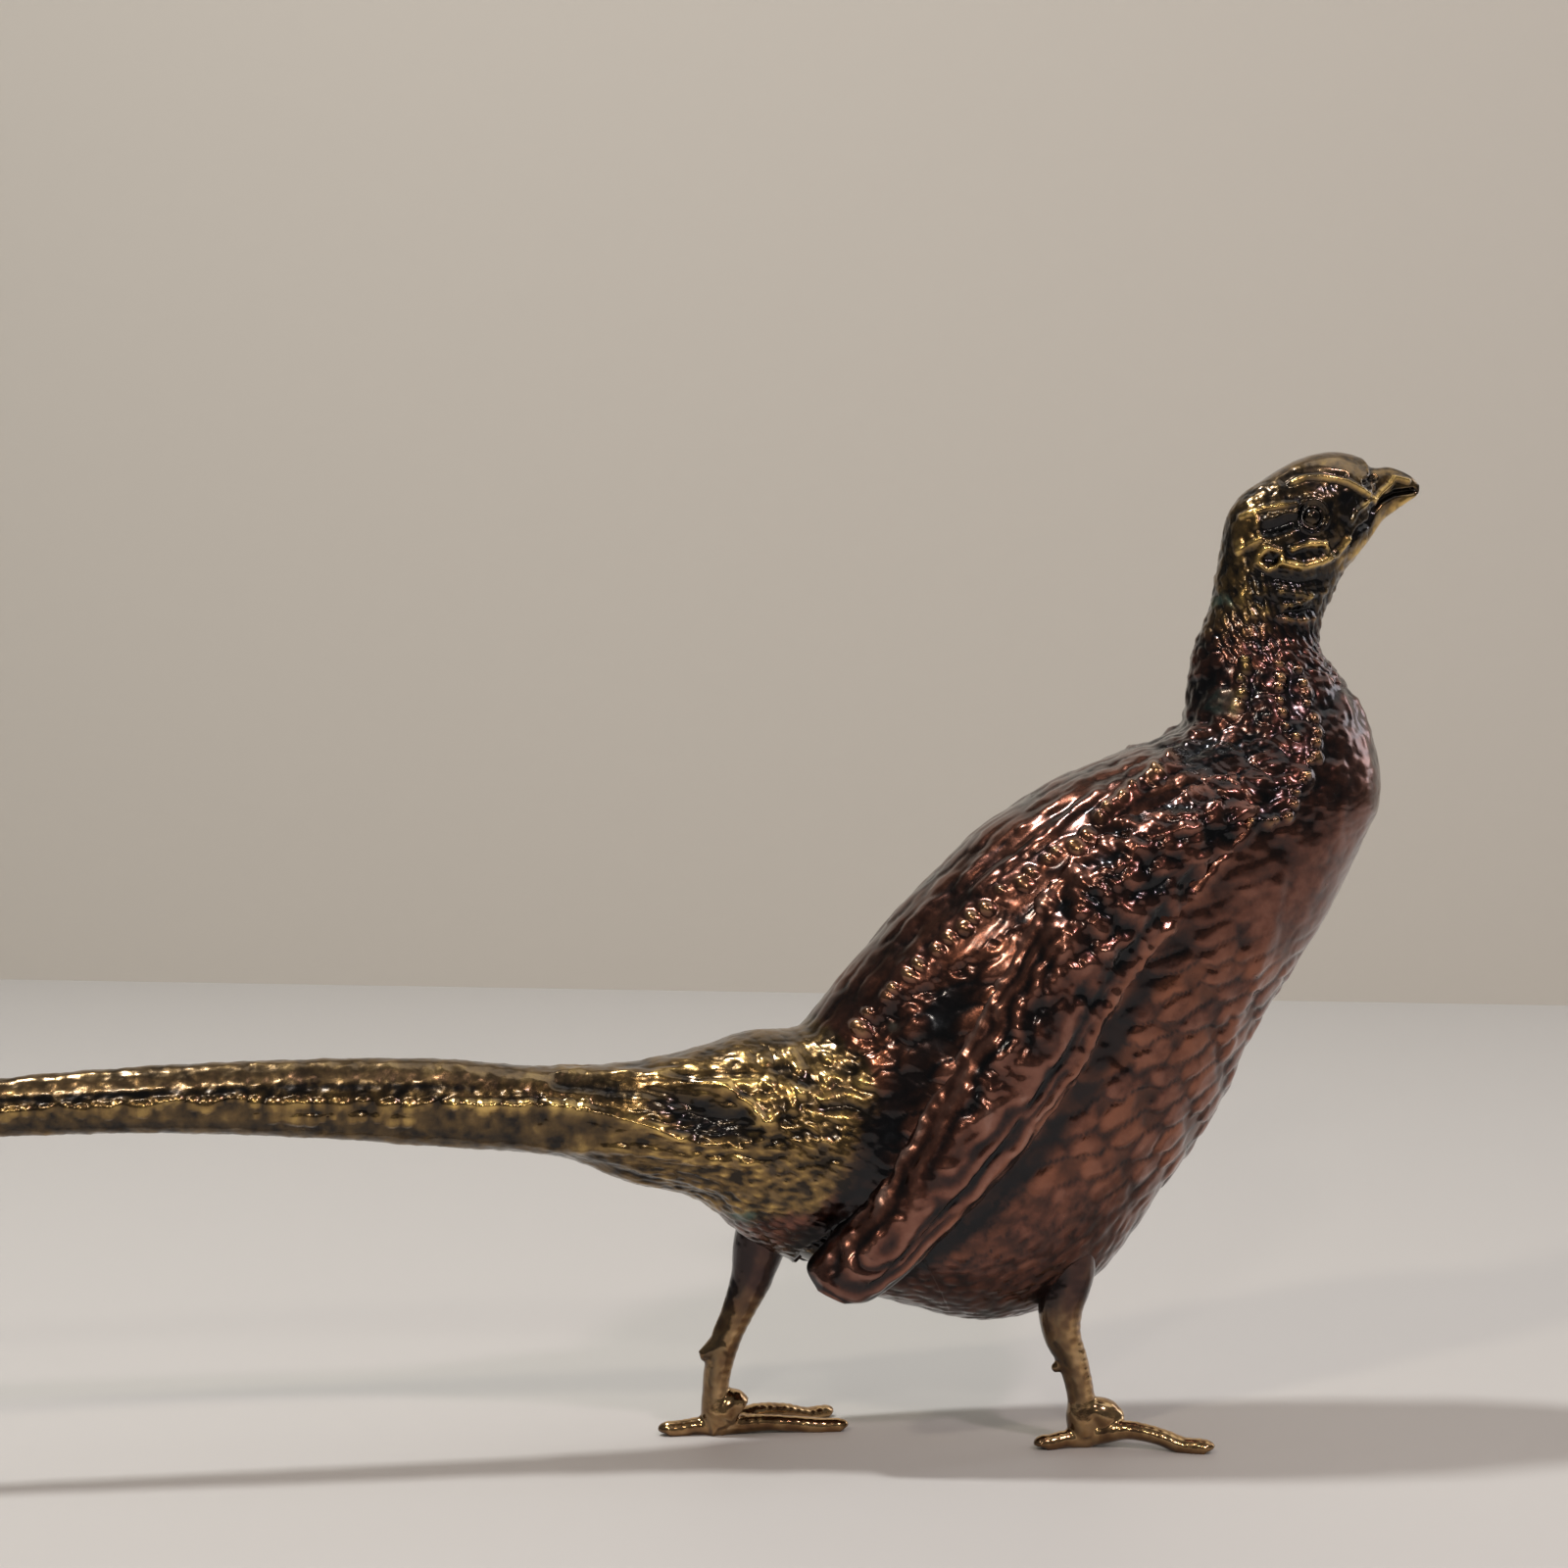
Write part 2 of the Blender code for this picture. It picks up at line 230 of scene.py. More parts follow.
def makeMesh(name, vertices, faces, marks):
    mesh = bpy.data.meshes.new(name)
    mesh.from_pydata(vertices.tolist(), [], faces)
    piece = finishMesh(name, mesh, marks)
    mesh.set_sharp_from_angle(angle=math.radians(70))  # keeps the hidden end caps from shading the last rows
    return piece


def tubeFaces(rows, count, flip=False):
    faces = []
    for r in range(rows - 1):
        for c in range(count):
            d = (c + 1) % count
            quad = (r * count + c, (r + 1) * count + c, (r + 1) * count + d, r * count + d)
            faces.append(quad[::-1] if flip else quad)
    for r, pole in ((0, rows * count), (rows - 1, rows * count + 1)):
        for c in range(count):
            d = (c + 1) % count
            fan = (pole, r * count + c, r * count + d)
            faces.append(fan if (r == 0) != flip else fan[::-1])
    return faces


def tubePoints(rings):  # with a pole at each end
    return np.vstack([rings.reshape(-1, 3), [rings[0].mean(0), rings[-1].mean(0)]])


def tubePiece(name, rings, marks, flip=False):  # closed by a fan at each end
    full = {}
    for mark, values in marks.items():
        full[mark] = np.concatenate([values.ravel(), [values[0].mean(), values[-1].mean()]])
    return makeMesh(name, tubePoints(rings), tubeFaces(*rings.shape[:2], flip), full)


def bodyRings(first, last, rows, columns, power=0.5):
    # Gives the points, their x and z in thousandths, and how far each faces sideways, from 0 to 1.
    form = smoothThrough(bodyForm, first, last, rows) * unit
    angle = np.linspace(0, 2 * math.pi, columns, endpoint=False)
    back, belly = form[:, None, 0:2], form[:, None, 2:4]
    sideView = (back + belly) / 2 + (back - belly) / 2 * np.cos(angle)[None, :, None]
    y = -form[:, None, 4] * np.sin(angle)[None, :]
    points = np.dstack([sideView[..., 0] + originX, y, sideView[..., 1]])
    sideways = np.abs(np.sin(angle))[None, :] ** power
    return points, (points[..., 0] - originX) / unit, points[..., 2] / unit, sideways


jointSink = [1.6, 0.7, 0.22, 0.03, 0]  # mm that a piece's last rows at a joint lie below its neighbour


def tucked(rows, atEnd=False):
    place = np.arange(rows)[::-1] if atEnd else np.arange(rows)
    return np.interp(place, range(len(jointSink)), jointSink)[:, None] * mm


# Head and upper neck: crown, brow, eye, bill, cheek and the wrinkles below them.
head = {
    "rows": 290,
    "columns": 220,
    "eye": (533, 931),
    "eyeRadius": 19,
    "pupilRadius": 9,
    "eyeHeights": (-3.4, 5.5, 3.6),  # socket, eyeball and the ring round it
    "carving": 1.25,  # strength of the lines
    "lines": [
        ([(509, 968), (522, 976), (543, 978), (570, 973)], -3.0, 6),
        ([(515, 965), (530, 971), (548, 971), (572, 966), (595, 954)], 4.5, 5),
        ([(602, 951), (592, 944), (580, 936), (575, 926)], 3.0, 5),
        ([(466, 931), (483, 938), (500, 941), (516, 944)], 3.2, 5),
        ([(478, 930), (480, 908), (462, 896)], 2.4, 5),
        ([(484, 917), (500, 921), (511, 926)], -5.0, 11),
        ([(511, 897), (528, 903), (546, 903), (551, 892)], 3.5, 5),
        ([(500, 884), (522, 880), (542, 885), (558, 893), (572, 908)], 4.0, 7),
        ([(479, 891), (487, 899), (500, 895), (501, 883), (487, 876), (478, 884), (479, 891)], 2.6, 5),
        ([(487, 888), (491, 887)], -3.0, 7),
        ([(655, 960), (633, 957), (615, 948), (605, 937), (600, 925), (585, 918), (577, 905)], -4.4, 5),
        ([(648, 970), (632, 973), (625, 965), (614, 957), (604, 947)], 3.0, 5),
        ([(594, 967), (609, 972)], -4.5, 5),
        ([(657, 955), (639, 945), (617, 925), (597, 905), (582, 890)], 1.6, 6),
        ([(604, 995), (607, 984), (606, 975)], -4.0, 6),
        ([(495, 868), (520, 864), (545, 868)], -2.2, 6),
        ([(500, 855), (530, 852), (552, 856)], 2.0, 5),
        ([(505, 841), (522, 843), (535, 851)], 2.2, 4),
        ([(498, 828), (522, 825), (540, 829)], 2.0, 4),
        ([(505, 834), (540, 839)], -2.4, 4),
        ([(462, 905), (466, 870), (463, 842)], 1.8, 6),
        ([(482, 870), (486, 835), (481, 805)], 1.8, 6),
    ],
    "jaw": [(650, 945), (622, 931), (606, 910), (590, 893), (572, 884)],  # rubbed bright
    "darkPatches": [  # x, z, half sizes, strength: old patina left in the hollows
        (572, 941, 17, 20, 1.0),
        (497, 921, 17, 9, 1.0),
        (543, 894, 17, 5, 0.9),
        (520, 860, 24, 12, 0.7),
        (530, 838, 22, 10, 0.8),
        (540, 974, 30, 3.5, 0.8),
        (600, 936, 10, 9, 0.6),
        (515, 946, 10, 5, 0.6),
    ],
    "verdigris": [(447, 846, 10, 7, 0.5), (440, 742, 14, 12, 0.3)],  # given as the dark patches are
}
# The neck's small scales, in mm. Overlap is the share of each one that shows.
smallScale = {"length": 4.4, "width": 3.0, "tip": 1.6, "overlap": 0.6, "rim": 0.8}


def neckScales(points, seed):
    return plume(alongColumns(points), girthFromBack(points), smallScale, seed)


def shapeHead():
    points, x, z, flank = bodyRings(0, throatStation + 0.35, head["rows"], head["columns"], 0.6)
    carved = carve(x, z, head["lines"])
    relief = head["carving"] * carved * unit * flank
    ex, ez = head["eye"]
    fromEye = np.hypot(x - ex, z - ez)
    socket = 1 - smoothStep(head["eyeRadius"] * 0.7, head["eyeRadius"] * 1.2, fromEye)
    ball = np.sqrt(np.clip(1 - (fromEye / head["pupilRadius"]) ** 2, 0, 1))
    ring = 1 - smoothStep(0, 4, np.abs(fromEye - head["eyeRadius"] * 0.86))
    socketDepth, ballHeight, ringHeight = head["eyeHeights"]
    relief += (socketDepth * socket + ballHeight * ball + ringHeight * ring) * unit * flank
    scale = neckScales(points, 2.0)
    scales = scale["lift"]
    downNeck = smoothStep(905, 840, z)
    crown = smoothStep(950, 985, z) * smoothStep(606, 594, x)
    relief += scales * (0.30 * downNeck + 0.03) * mm * smoothStep(612, 596, x)
    mottled = lumps(points, 2.6 * mm, 1.0, 3)
    fine = lumps(points, 1.1 * mm, 4.0)
    bill = smoothStep(597, 612, x)
    relief += (0.22 * mottled + 0.09 * fine) * mm * (1 - 0.85 * bill) * (1 - 0.7 * crown)
    relief = relief - 0.2 * crown * mm - tucked(len(points), atEnd=True)
    dark = np.zeros(x.shape)
    for px, pz, halfX, halfZ, strength in head["darkPatches"]:
        spread = np.hypot((x - px) / halfX, (z - pz) / halfZ) + 0.25 * mottled
        dark = np.maximum(dark, strength * (1 - smoothStep(0.7, 1.25, spread)))
    face = smoothStep(462, 490, x) * smoothStep(618, 600, x)
    face = face * smoothStep(806, 850, z) * smoothStep(975, 955, z)
    gold = smoothStep(0.3, 2.2, carved + 0.9 * mottled)
    jaw = 1 - smoothStep(5, 15, lineDistance(x, z, head["jaw"]))
    dark = np.maximum(dark, 0.72 * face * (1 - gold)) * (1 - 0.9 * jaw)
    pupil = 1 - smoothStep(0, 5, np.abs(fromEye - head["eyeRadius"] * 0.55))
    dark = np.maximum(dark * flank, 0.9 * pupil)
    dark = dark + 0.55 * downNeck * (1 - scales) + 0.35 * smoothStep(-0.05, -0.45, mottled)
    height = 0.36 + 0.16 * carved * flank + 0.22 * mottled + 0.22 * (scales - 0.4) * downNeck
    height = height + 0.1 * crown + 0.1 * bill + 0.22 * jaw
    brass = smoothStep(795, 850, z + 14 * mottled - 0.12 * (x - 480))
    tint = scale["own"] - 0.6 + 0.9 * crown
    marks = marksOf(height, brass, dark, tint, patches(x, z, head["verdigris"], mottled))
    normal = gridNormals(points)
    return tubePiece("head_and_neck", points + normal * relief[..., None], marks)


def patches(x, z, spots, mottled):  # soft spots of green verdigris
    total = np.zeros(x.shape)
    for px, pz, halfX, halfZ, strength in spots:
        spread = np.hypot((x - px) / halfX, (z - pz) / halfZ) - 0.9 * mottled
        total = np.maximum(total, strength * (1 - smoothStep(0.4, 1.2, spread)))
    return total


# Trunk: breast, back, flanks, belly and rump. Feather sizes are in mm, overlap is the share that shows,
# and deep is how far a feather stands out.
trunk = {
    "rows": 560,
    "columns": 310,
    "scanRows": 140,  # rows where only its outline is read
    "pieces": ("breast_and_shoulders", "back_and_belly", "rump"),
    "joints": (0.33, 0.66),  # where the shoulders meet the back, and the back the rump
    "back": {"length": 26, "width": 4.6, "tip": 7, "overlap": 0.5, "rim": 1.4, "deep": 0.42},
    "flank": {"length": 15, "width": 5.4, "tip": 4.4, "overlap": 0.58, "rim": 1.5, "deep": 0.8},
    "breast": {"length": 9, "width": 5.0, "tip": 3.0, "overlap": 0.5, "rim": 1.4, "deep": 0.12},
    "belly": {"length": 11, "width": 2.6, "tip": 3.6, "overlap": 0.5, "rim": 0.9, "deep": 0.36},
    "rump": {"length": 6, "width": 2.4, "tip": 1.8, "overlap": 0.5, "rim": 0.8, "deep": 0.12},
    "wingLower": [
        (470, 640), (412, 556), (362, 505), (316, 446), (275, 374), (228, 306), (176, 252), (105, 192)],
    "behindWing": [(150, 458), (124, 414), (98, 372), (74, 311), (50, 250), (14, 205)],
    "scapularCrest": [
        (385, 693), (325, 650), (270, 606), (205, 560), (163, 525), (123, 488), (90, 455), (60, 428)],
    "collar": [
        (512, 793), (520, 751), (524, 718), (519, 689), (505, 667),
        (484, 634), (472, 629), (445, 628), (437, 608)],
    "innerCollar": [(494, 792), (492, 760), (492, 725), (498, 710), (508, 705)],
    "neckRidge": [(479, 812), (466, 800), (460, 778), (456, 755), (446, 735)],
    "backRidges": [
        ([(440, 728), (400, 704), (350, 670), (300, 634)], 4.5, 9),
        ([(366, 694), (285, 646), (205, 580), (150, 528), (100, 480)], 3.6, 9),
        ([(330, 680), (240, 622), (160, 556), (110, 508)], -3.0, 8),
        ([(300, 670), (210, 606), (130, 534)], 3.2, 8),
        ([(462, 640), (420, 600), (388, 560)], 3.6, 9),
        ([(474, 566), (467, 500), (430, 400)], 3.0, 14),
    ],
    "shoulderLumps": [  # x, z, half size, height in mm
        (480, 735, 17, 1.0), (508, 705, 19, 1.2), (470, 690, 17, 1.1), (500, 668, 15, 0.9),
        (452, 662, 16, 1.1), (432, 690, 14, 0.9), (422, 652, 15, 1.0), (486, 765, 14, 0.9),
        (404, 622, 15, 0.9), (388, 664, 13, 0.8),
    ],
    "beadChains": [  # line, spacing, radius
        ("collar", 12, 5.5), ("innerCollar", 13, 5), ("neckRidge", 12, 5.5), ("scapularCrest", 17, 7)],
    "verdigris": [(440, 742, 14, 12, 0.3), (-48, 240, 16, 10, 0.8), (90, 430, 7, 7, 0.25)],
}


def placeOnForm(form, x, z):
    # For each place in side view: the form's row that crosses it, the place along that row from 1 at its
    # first edge to -1 at its second, and how far off the nearest row lies.
    middle, half = (form[:, 0:2] + form[:, 2:4]) / 2, (form[:, 0:2] - form[:, 2:4]) / 2
    size = np.linalg.norm(half, axis=1)
    dx, dz = x.ravel()[:, None] - middle[:, 0], z.ravel()[:, None] - middle[:, 1]
    share = (dx * half[:, 0] + dz * half[:, 1]) / size**2
    aside = (dx * half[:, 1] - dz * half[:, 0]) / size
    beyond = 1000 * (np.abs(share) > 1.05)  # rules out the rows that end before the place
    row = np.argmin(np.abs(aside) + beyond, axis=1)
    every = np.arange(len(row))
    here = aside[every, row]
    after = aside[every, np.minimum(row + 1, len(form) - 1)]
    beside = np.clip(row + np.where(after * here < 0, 1, -1), 0, len(form) - 1)
    gap = here - aside[every, beside]
    part = np.clip(here / np.where(gap == 0, 1, gap), 0, 1)
    between = share[every, row] * (1 - part) + share[every, beside] * part
    return [values.reshape(x.shape) for values in (row + (beside - row) * part, between, np.abs(here))]


def trunkReach(x, z):  # how far the bare trunk's side stands out at each place in side view
    form = smoothThrough(bodyForm, throatStation, tail["root"], trunk["scanRows"])
    row, share = placeOnForm(form, x, z)[:2]
    return np.interp(row, np.arange(len(form)), form[:, 4]) * np.sqrt(np.clip(1 - share**2, 0, 1))


def wingReach(x, z, across, down, reach, thick):  # how far the wing's outer side stands out
    sag = wing["edgeSag"] * across**2 + wing["upperSag"] * smoothStep(0.45, 1.1, across)
    outer = reach + thick * (np.sqrt(np.clip(1 - across**2, 0, 1)) - 1 - sag)
    nearShoulder = smoothStep(wing["blendEnd"], wing["blendEnd"] / 2, down)
    proud = smoothStep(0, 0.16, down) * (1 - nearShoulder * (1 - smoothStep(1.0, 0.4, np.abs(across))))
    return outer - np.maximum(outer - trunkReach(x, z) + wing["tuck"], 0) * (1 - proud)


def wingClearance(x, z, own):  # in mm, how far the wing's outer side stands out over the trunk's
    form = smoothThrough(wing["form"], rows=wing["scanRows"])
    row, across, miss = placeOnForm(form, x, z)
    reach, thick = (np.interp(row, np.arange(len(form)), form[:, k]) for k in (4, 5))
    over = wingReach(x, z, across, row / (len(form) - 1), reach, thick) - own
    return np.where((np.abs(across) < 1) & (miss < 3), over, 0) * unit / mm


def trunkZones(x, z, mid, aboveCrest):  # how much each kind of plumage covers each point
    upperSide = (x - 60) * 0.54 - (z - 428) * 0.84 < 0
    back = np.where(upperSide, 1.0, 1 - smoothStep(0, 26, aboveCrest))
    back = back * smoothStep(735, 700, z) * smoothStep(8, 40, x + 0.2 * (z - 430))
    rump = 1 - smoothStep(0.93, 1.05, np.hypot(np.maximum(x + 40, 0) / 120, (z - 345) / 105) + 0.08 * mid)
    neck = smoothStep(672, 742, z) * (1 - 0.5 * smoothStep(470, 440, x))
    breast = smoothStep(430, 500, x - 0.45 * (z - 560)) * smoothStep(450, 560, z)
    belly = smoothStep(300, 235, z + 0.15 * (x - 200)) * (1 - rump)
    flank = np.clip(1 - back - rump - neck - breast - belly, 0, 1)
    flank = flank * (0.35 + 0.65 * smoothStep(560, 470, z + 20 * mid))
    return {"back": back, "rump": rump, "neck": neck, "breast": breast, "belly": belly, "flank": flank,
            "upper": upperSide}


def shapeTrunk():
    points, x, z, sideways = bodyRings(throatStation - 0.05, tail["root"], trunk["rows"], trunk["columns"])
    along, girth = alongColumns(points), girthFromBack(points)
    big, mid, fine = (lumps(points, s * mm, k) for s, k in ((14, 3), (4.5, 5), (1.7, 8)))
    aboveCrest = lineDistance(x, z, trunk["scapularCrest"])
    zone = trunkZones(x, z, mid, aboveCrest)
    relief, tint, gaps = (np.zeros(x.shape) for _ in range(3))
    # Painted reflection: the flank and breast are lighter, as the pale table shows in them. The back is a
    # little darker.
    height = 0.42 + 0.12 * zone["flank"] + 0.1 * zone["breast"] - 0.06 * zone["back"]
    wander = 1.2 * mm * mid
    # The flank's feathers are turned to point up to the wing.
    turned = (0.82 * along - 0.57 * girth, 0.82 * girth + 0.57 * along)
    runs = {name: (along, girth) for name in ("back", "breast", "belly", "rump")} | {"flank": turned}
    for seed, (name, (run, girthRun)) in enumerate(runs.items()):
        form = trunk[name]
        feather = plume(run + wander, girthRun + wander, form, 3.0 + 2 * seed)
        strength = zone[name] * min(form["deep"] / 0.6, 1)
        relief += zone[name] * form["deep"] * (0.7 + 0.6 * feather["own"]) * (feather["lift"] - 0.5)
        tint += 0.5 * zone[name] * (feather["own"] * 2 - 1)
        # Each feather is lighter towards its own tip and dark just under the tip of the one above: painted
        # light and shade, with soot in the gaps.
        height += strength * (0.42 * feather["lift"] - 0.21)
        gaps += 0.8 * strength * (1 - smoothStep(0.10, 0.4, feather["lift"]))
        if name == "flank":
            gaps += 1.3 * zone[name] * (1 - smoothStep(0.1 * mm, 0.6 * mm, feather["edge"]))
    nearChain = [lineDistance(x, z, trunk[name]) for name in ("collar", "innerCollar", "neckRidge")]
    plain = smoothStep(5, 16, np.minimum.reduce(nearChain))
    scales = neckScales(points, 6.0)["lift"]
    shoulder = 1 - smoothStep(60, 120, np.hypot(x - 465, (z - 700) * 0.9))
    scaly = np.clip(zone["neck"] * (1 - 0.7 * zone["breast"]) + 0.6 * shoulder, 0, 1)
    scaly *= 0.15 + 0.85 * plain
    relief += scaly * (0.16 + 0.08 * zone["neck"]) * (scales - 0.4)
    height += scaly * 0.2 * (scales - 0.45)
    bumps = np.zeros(x.shape)
    for lumpX, lumpZ, size, tall in trunk["shoulderLumps"]:
        away = np.hypot(x - lumpX, z - lumpZ) / size + 0.25 * mid
        bumps = np.maximum(bumps, tall * np.sqrt(np.clip(1 - away**2, 0, 1)))
    crest = 1 - smoothStep(0, 15, aboveCrest)
    collar = nearLine(x, z, trunk["collar"], 11)
    neckRidge = nearLine(x, z, trunk["neckRidge"], 10)
    chains = [beadChain(x, z, trunk[name], spacing, radius) for name, spacing, radius in trunk["beadChains"]]
    beads = np.maximum.reduce(chains)
    coarse = lumps(points * [0.55, 1, 1], 2.2 * mm, 41, 1)  # short lengthwise lumps on the rump
    coarse = coarse * smoothStep(408, 380, z) * (0.35 + 0.65 * smoothStep(325, 350, z))
    strokes = lumps(points * [0.5, 1, 1.4], 1.2 * mm, 43, 1) * smoothStep(365, 335, z)
    hollow = smoothStep(0, 10, aboveCrest) * (1 - smoothStep(14, 44, aboveCrest)) * ~zone["upper"]
    hollow = hollow * smoothStep(330, 250, x)
    gutter = nearLine(x, z, trunk["wingLower"], 24) * (0.85 + 0.5 * mid)
    gutter *= 0.15 + 0.85 * smoothStep(560, 440, z + 30 * mid)
    behind = nearLine(x, z, trunk["behindWing"], 32)
    ropes = carve(x, z, trunk["backRidges"]) * unit / mm
    ridge = np.clip(crest + collar + neckRidge + np.clip(ropes, 0, 1), 0, 1)
    relief += sideways * (0.7 * crest + 0.4 * collar + 0.6 * neckRidge + 1.15 * beads)
    relief += sideways * (ropes * (0.8 + 0.5 * mid) + 0.55 * bumps - 0.6 * hollow - 1.2 * gutter)
    relief += zone["rump"] * (0.55 * coarse + 0.28 * strokes)
    bumpy = np.clip(zone["neck"] + shoulder, 0, 1)
    relief *= (1 - 0.7 * behind) * (1 - 0.6 * gutter)
    relief += hollow * (0.8 * mid + 0.3 * fine)
    relief -= 1.2 * behind * sideways
    uneven = 0.35 * big * (1 - zone["neck"]) * (1 - behind) + mid * (0.10 + 0.48 * bumpy * plain)
    relief += uneven + fine * (0.02 + 0.12 * ridge + 0.05 * bumpy)
    # Painted shade: the groove under the wing's lower edge and the gap behind the wing are darkened as shade
    # between wing and body, over dark patina in the grooves.
    deep = np.clip((0.9 * gutter + 0.9 * behind) * (1 + 0.3 * mid) + 0.12 * hollow * sideways, 0, 1)
    cracks = bumpy * smoothStep(0.25, 0.02, bumps) * smoothStep(0.15, -0.25, mid)
    # The beads are lighter and brassier, from rubbed-bright wear on their tops and painted glints. The collar
    # band between them is darker.
    height = height + sideways * (0.16 * ridge + 0.42 * beads - 0.2 * collar) - 0.5 * deep + 0.14 * mid
    height = height - 0.12 * bumpy * (1 - beads) + zone["rump"] * (0.5 * coarse + 0.4 * strokes)
    brass = zone["rump"] + sideways * (0.9 * neckRidge * smoothStep(-0.5, 0.2, fine) + 0.45 * beads)
    soot = deep + 0.5 * gaps + 0.4 * scaly * (1 - scales) + 0.5 * cracks + 0.45 * collar * (1 - beads)
    # Darker low on the body: painted shade under it, with patina.
    soot = soot + 0.08 * zone["breast"] + 0.35 * smoothStep(240, 130, z) * (1 - zone["rump"])
    tint = tint + (0.4 + 0.4 * mid) * zone["flank"] - 0.4 * zone["breast"] - 0.5 * zone["neck"]
    brass = np.clip(brass, 0, 1) * (1 - 0.9 * deep)
    marks = marksOf(height, brass, soot, tint, patches(x, z, trunk["verdigris"], mid))
    share, tailRelief, tailMarks, extra = tailCarving(x, z, sideways, mid, fine)
    relief = relief * (1 - share) + tailRelief
    for mark, values in tailMarks.items():
        marks[mark] = marks[mark] * (1 - share) + values * share
    addExtra(marks, extra, sideways)
    # Where the wing covers it, the trunk sinks out of its way.
    clear = wingClearance(x, z, np.abs(points[..., 1]) / unit)
    relief = relief * (1 - smoothStep(0.2, 1.2, clear)) - 1.6 * smoothStep(0.8, 2.6, clear)
    finished = points + gridNormals(points) * (relief * mm)[..., None]
    cuts = [0, *(int(trunk["rows"] * joint) for joint in trunk["joints"]), None]
    parts = []
    for name, start, end in zip(trunk["pieces"], cuts[:-1], cuts[1:]):
        start = max(start - len(jointSink), 0)  # each starts under the one before
        rings = finished[start:end]
        rings = rings - gridNormals(rings) * tucked(len(rings))[..., None]
        parts.append(tubePiece(name, rings, {mark: values[start:end] for mark, values in marks.items()}))
    return parts


# Tail: long feathers side by side, carved coverts over their roots, and a beaded line along each side.
tail = {
    "rows": 300,
    "columns": 120,
    "root": 27.3,  # the station where the tail piece takes over from the rump
    "carving": [
        ([(-225, 386), (-155, 380), (-99, 374), (-67, 369), (-46, 352), (-34, 337)], 5.5, 8),  # upper lip
        ([(-330, 354), (-240, 352), (-184, 343), (-146, 333), (-113, 321)], 6.0, 9),
        ([(-230, 373), (-150, 365), (-105, 357)], -5.0, 9),
        ([(-105, 347), (-85, 340), (-60, 336)], -13.0, 30),  # the hollow itself
        ([(-215, 309), (-158, 309), (-111, 301), (-86, 298), (-50, 296)], 4.5, 9),
        ([(-260, 297), (-199, 293), (-147, 279), (-106, 267), (-69, 255)], -3.5, 8),
        ([(-110, 320), (-80, 312), (-40, 318), (-25, 340)], 3.0, 9),
    ],
    "lumps": [
        (-28, 395, 9), (-1, 401, 10), (2, 387, 9), (-27, 373, 9),
        (3, 366, 9), (-6, 353, 8), (30, 396, 8), (28, 376, 8)],
    "topSeam": [(-250, 370), (-480, 374), (-760, 367), (-1000, 350), (-1150, 333)],
    "beadChains": [  # line, spacing, radius
        ([(-200, 352), (-330, 352), (-480, 358), (-560, 361), (-700, 356), (-900, 346), (-1080, 333)], 12, 7),
        ([(-370, 341), (-530, 346)], 13, 6),
    ],
    "lowSeam": [(-260, 318), (-480, 336), (-760, 340), (-1000, 332)],
    "barSpacing": 6.5,  # mm between the dark cross bars
    "barbSpacing": 1.7,  # mm
}


def tailCarving(x, z, sideways, mid, fine):
    # Worked out from place alone, so that neighbours agree. Gives the tail's share of each point, its relief
    # in mm, its marks, and what the carving adds to any piece's marks.
    share = smoothStep(-110, -215, x)
    carved = carve(x, z, tail["carving"]) * unit / mm
    lumpy = np.zeros(x.shape)
    for lumpX, lumpZ, size in tail["lumps"]:
        lumpy = np.maximum(lumpy, 1 - smoothStep(0.2, 1.0, np.hypot(x - lumpX, z - lumpZ) / size))
    begun = smoothStep(-240, -380, x)
    top = begun * nearLine(x, z, tail["topSeam"], 7) * smoothStep(-0.7, 0.5, mid)
    low = nearLine(x, z, tail["lowSeam"], 8) * smoothStep(-0.6, 0.6, mid)
    beads = np.maximum.reduce([beadChain(x, z, *chain) for chain in tail["beadChains"]])
    bars = 0.5 + 0.5 * np.sin(2 * math.pi * x * unit / (tail["barSpacing"] * mm) + 5 * mid + 0.04 * z)
    barbs = 0.5 + 0.5 * np.sin(2 * math.pi * (x - 0.8 * z) * unit / (tail["barbSpacing"] * mm) + mid)
    thin = 0.2 + 0.8 * smoothStep(-1171, -1030, x)
    relief = sideways * (0.9 * carved * (0.8 + 0.3 * mid) + 0.55 * lumpy)
    relief += share * sideways * (0.04 * (bars - 0.5) + 0.04 * barbs - 0.08 * top - 0.1 * low + 0.8 * beads)
    relief += share * (0.2 * mid + 0.12 * fine)
    hollow = np.clip(-carved / 1.6, 0, 1)
    upper = smoothStep(0, 8, z - np.interp(x, *zip(*tail["topSeam"][::-1]))) * sideways
    # The beads are lighter, from wear on their tops and painted glints.
    height = 0.4 + 0.26 * beads + 0.08 * (bars - 0.5) + 0.14 * upper + 0.2 * mid - 0.2 * top - 0.12 * low
    soot = 0.42 + 0.4 * top + 0.3 * low + 0.18 * (1 - bars) - 0.4 * beads - 0.4 * upper
    marks = {
        "relief": height,
        "brass": np.ones(x.shape),
        "soot": np.clip(soot, 0, 1) * sideways,
        "tint": np.clip(0.9 * upper + 0.3 * mid, -1, 1),
    }
    extra = {"relief": 0.22 * np.clip(carved, 0, 1) + 0.3 * lumpy, "soot": hollow}
    return share, relief * thin, marks, extra


def addExtra(marks, extra, sideways):
    for mark, values in extra.items():
        marks[mark] = np.clip(marks[mark] + values * sideways, 0, 1)


def shapeTail():
    points, x, z, sideways = bodyRings(tail["root"] - 0.12, len(bodyForm) - 1, tail["rows"], tail["columns"])
    mid, fine = lumps(points, 4.5 * mm, 5), lumps(points, 1.7 * mm, 8)
    relief, marks, extra = tailCarving(x, z, sideways, mid, fine)[1:]
    addExtra(marks, extra, sideways)
    marks["bloom"] = np.zeros(x.shape)
    carved = relief * mm - tucked(len(points))
    return tubePiece("tail", points + gridNormals(points) * carved[..., None], marks)


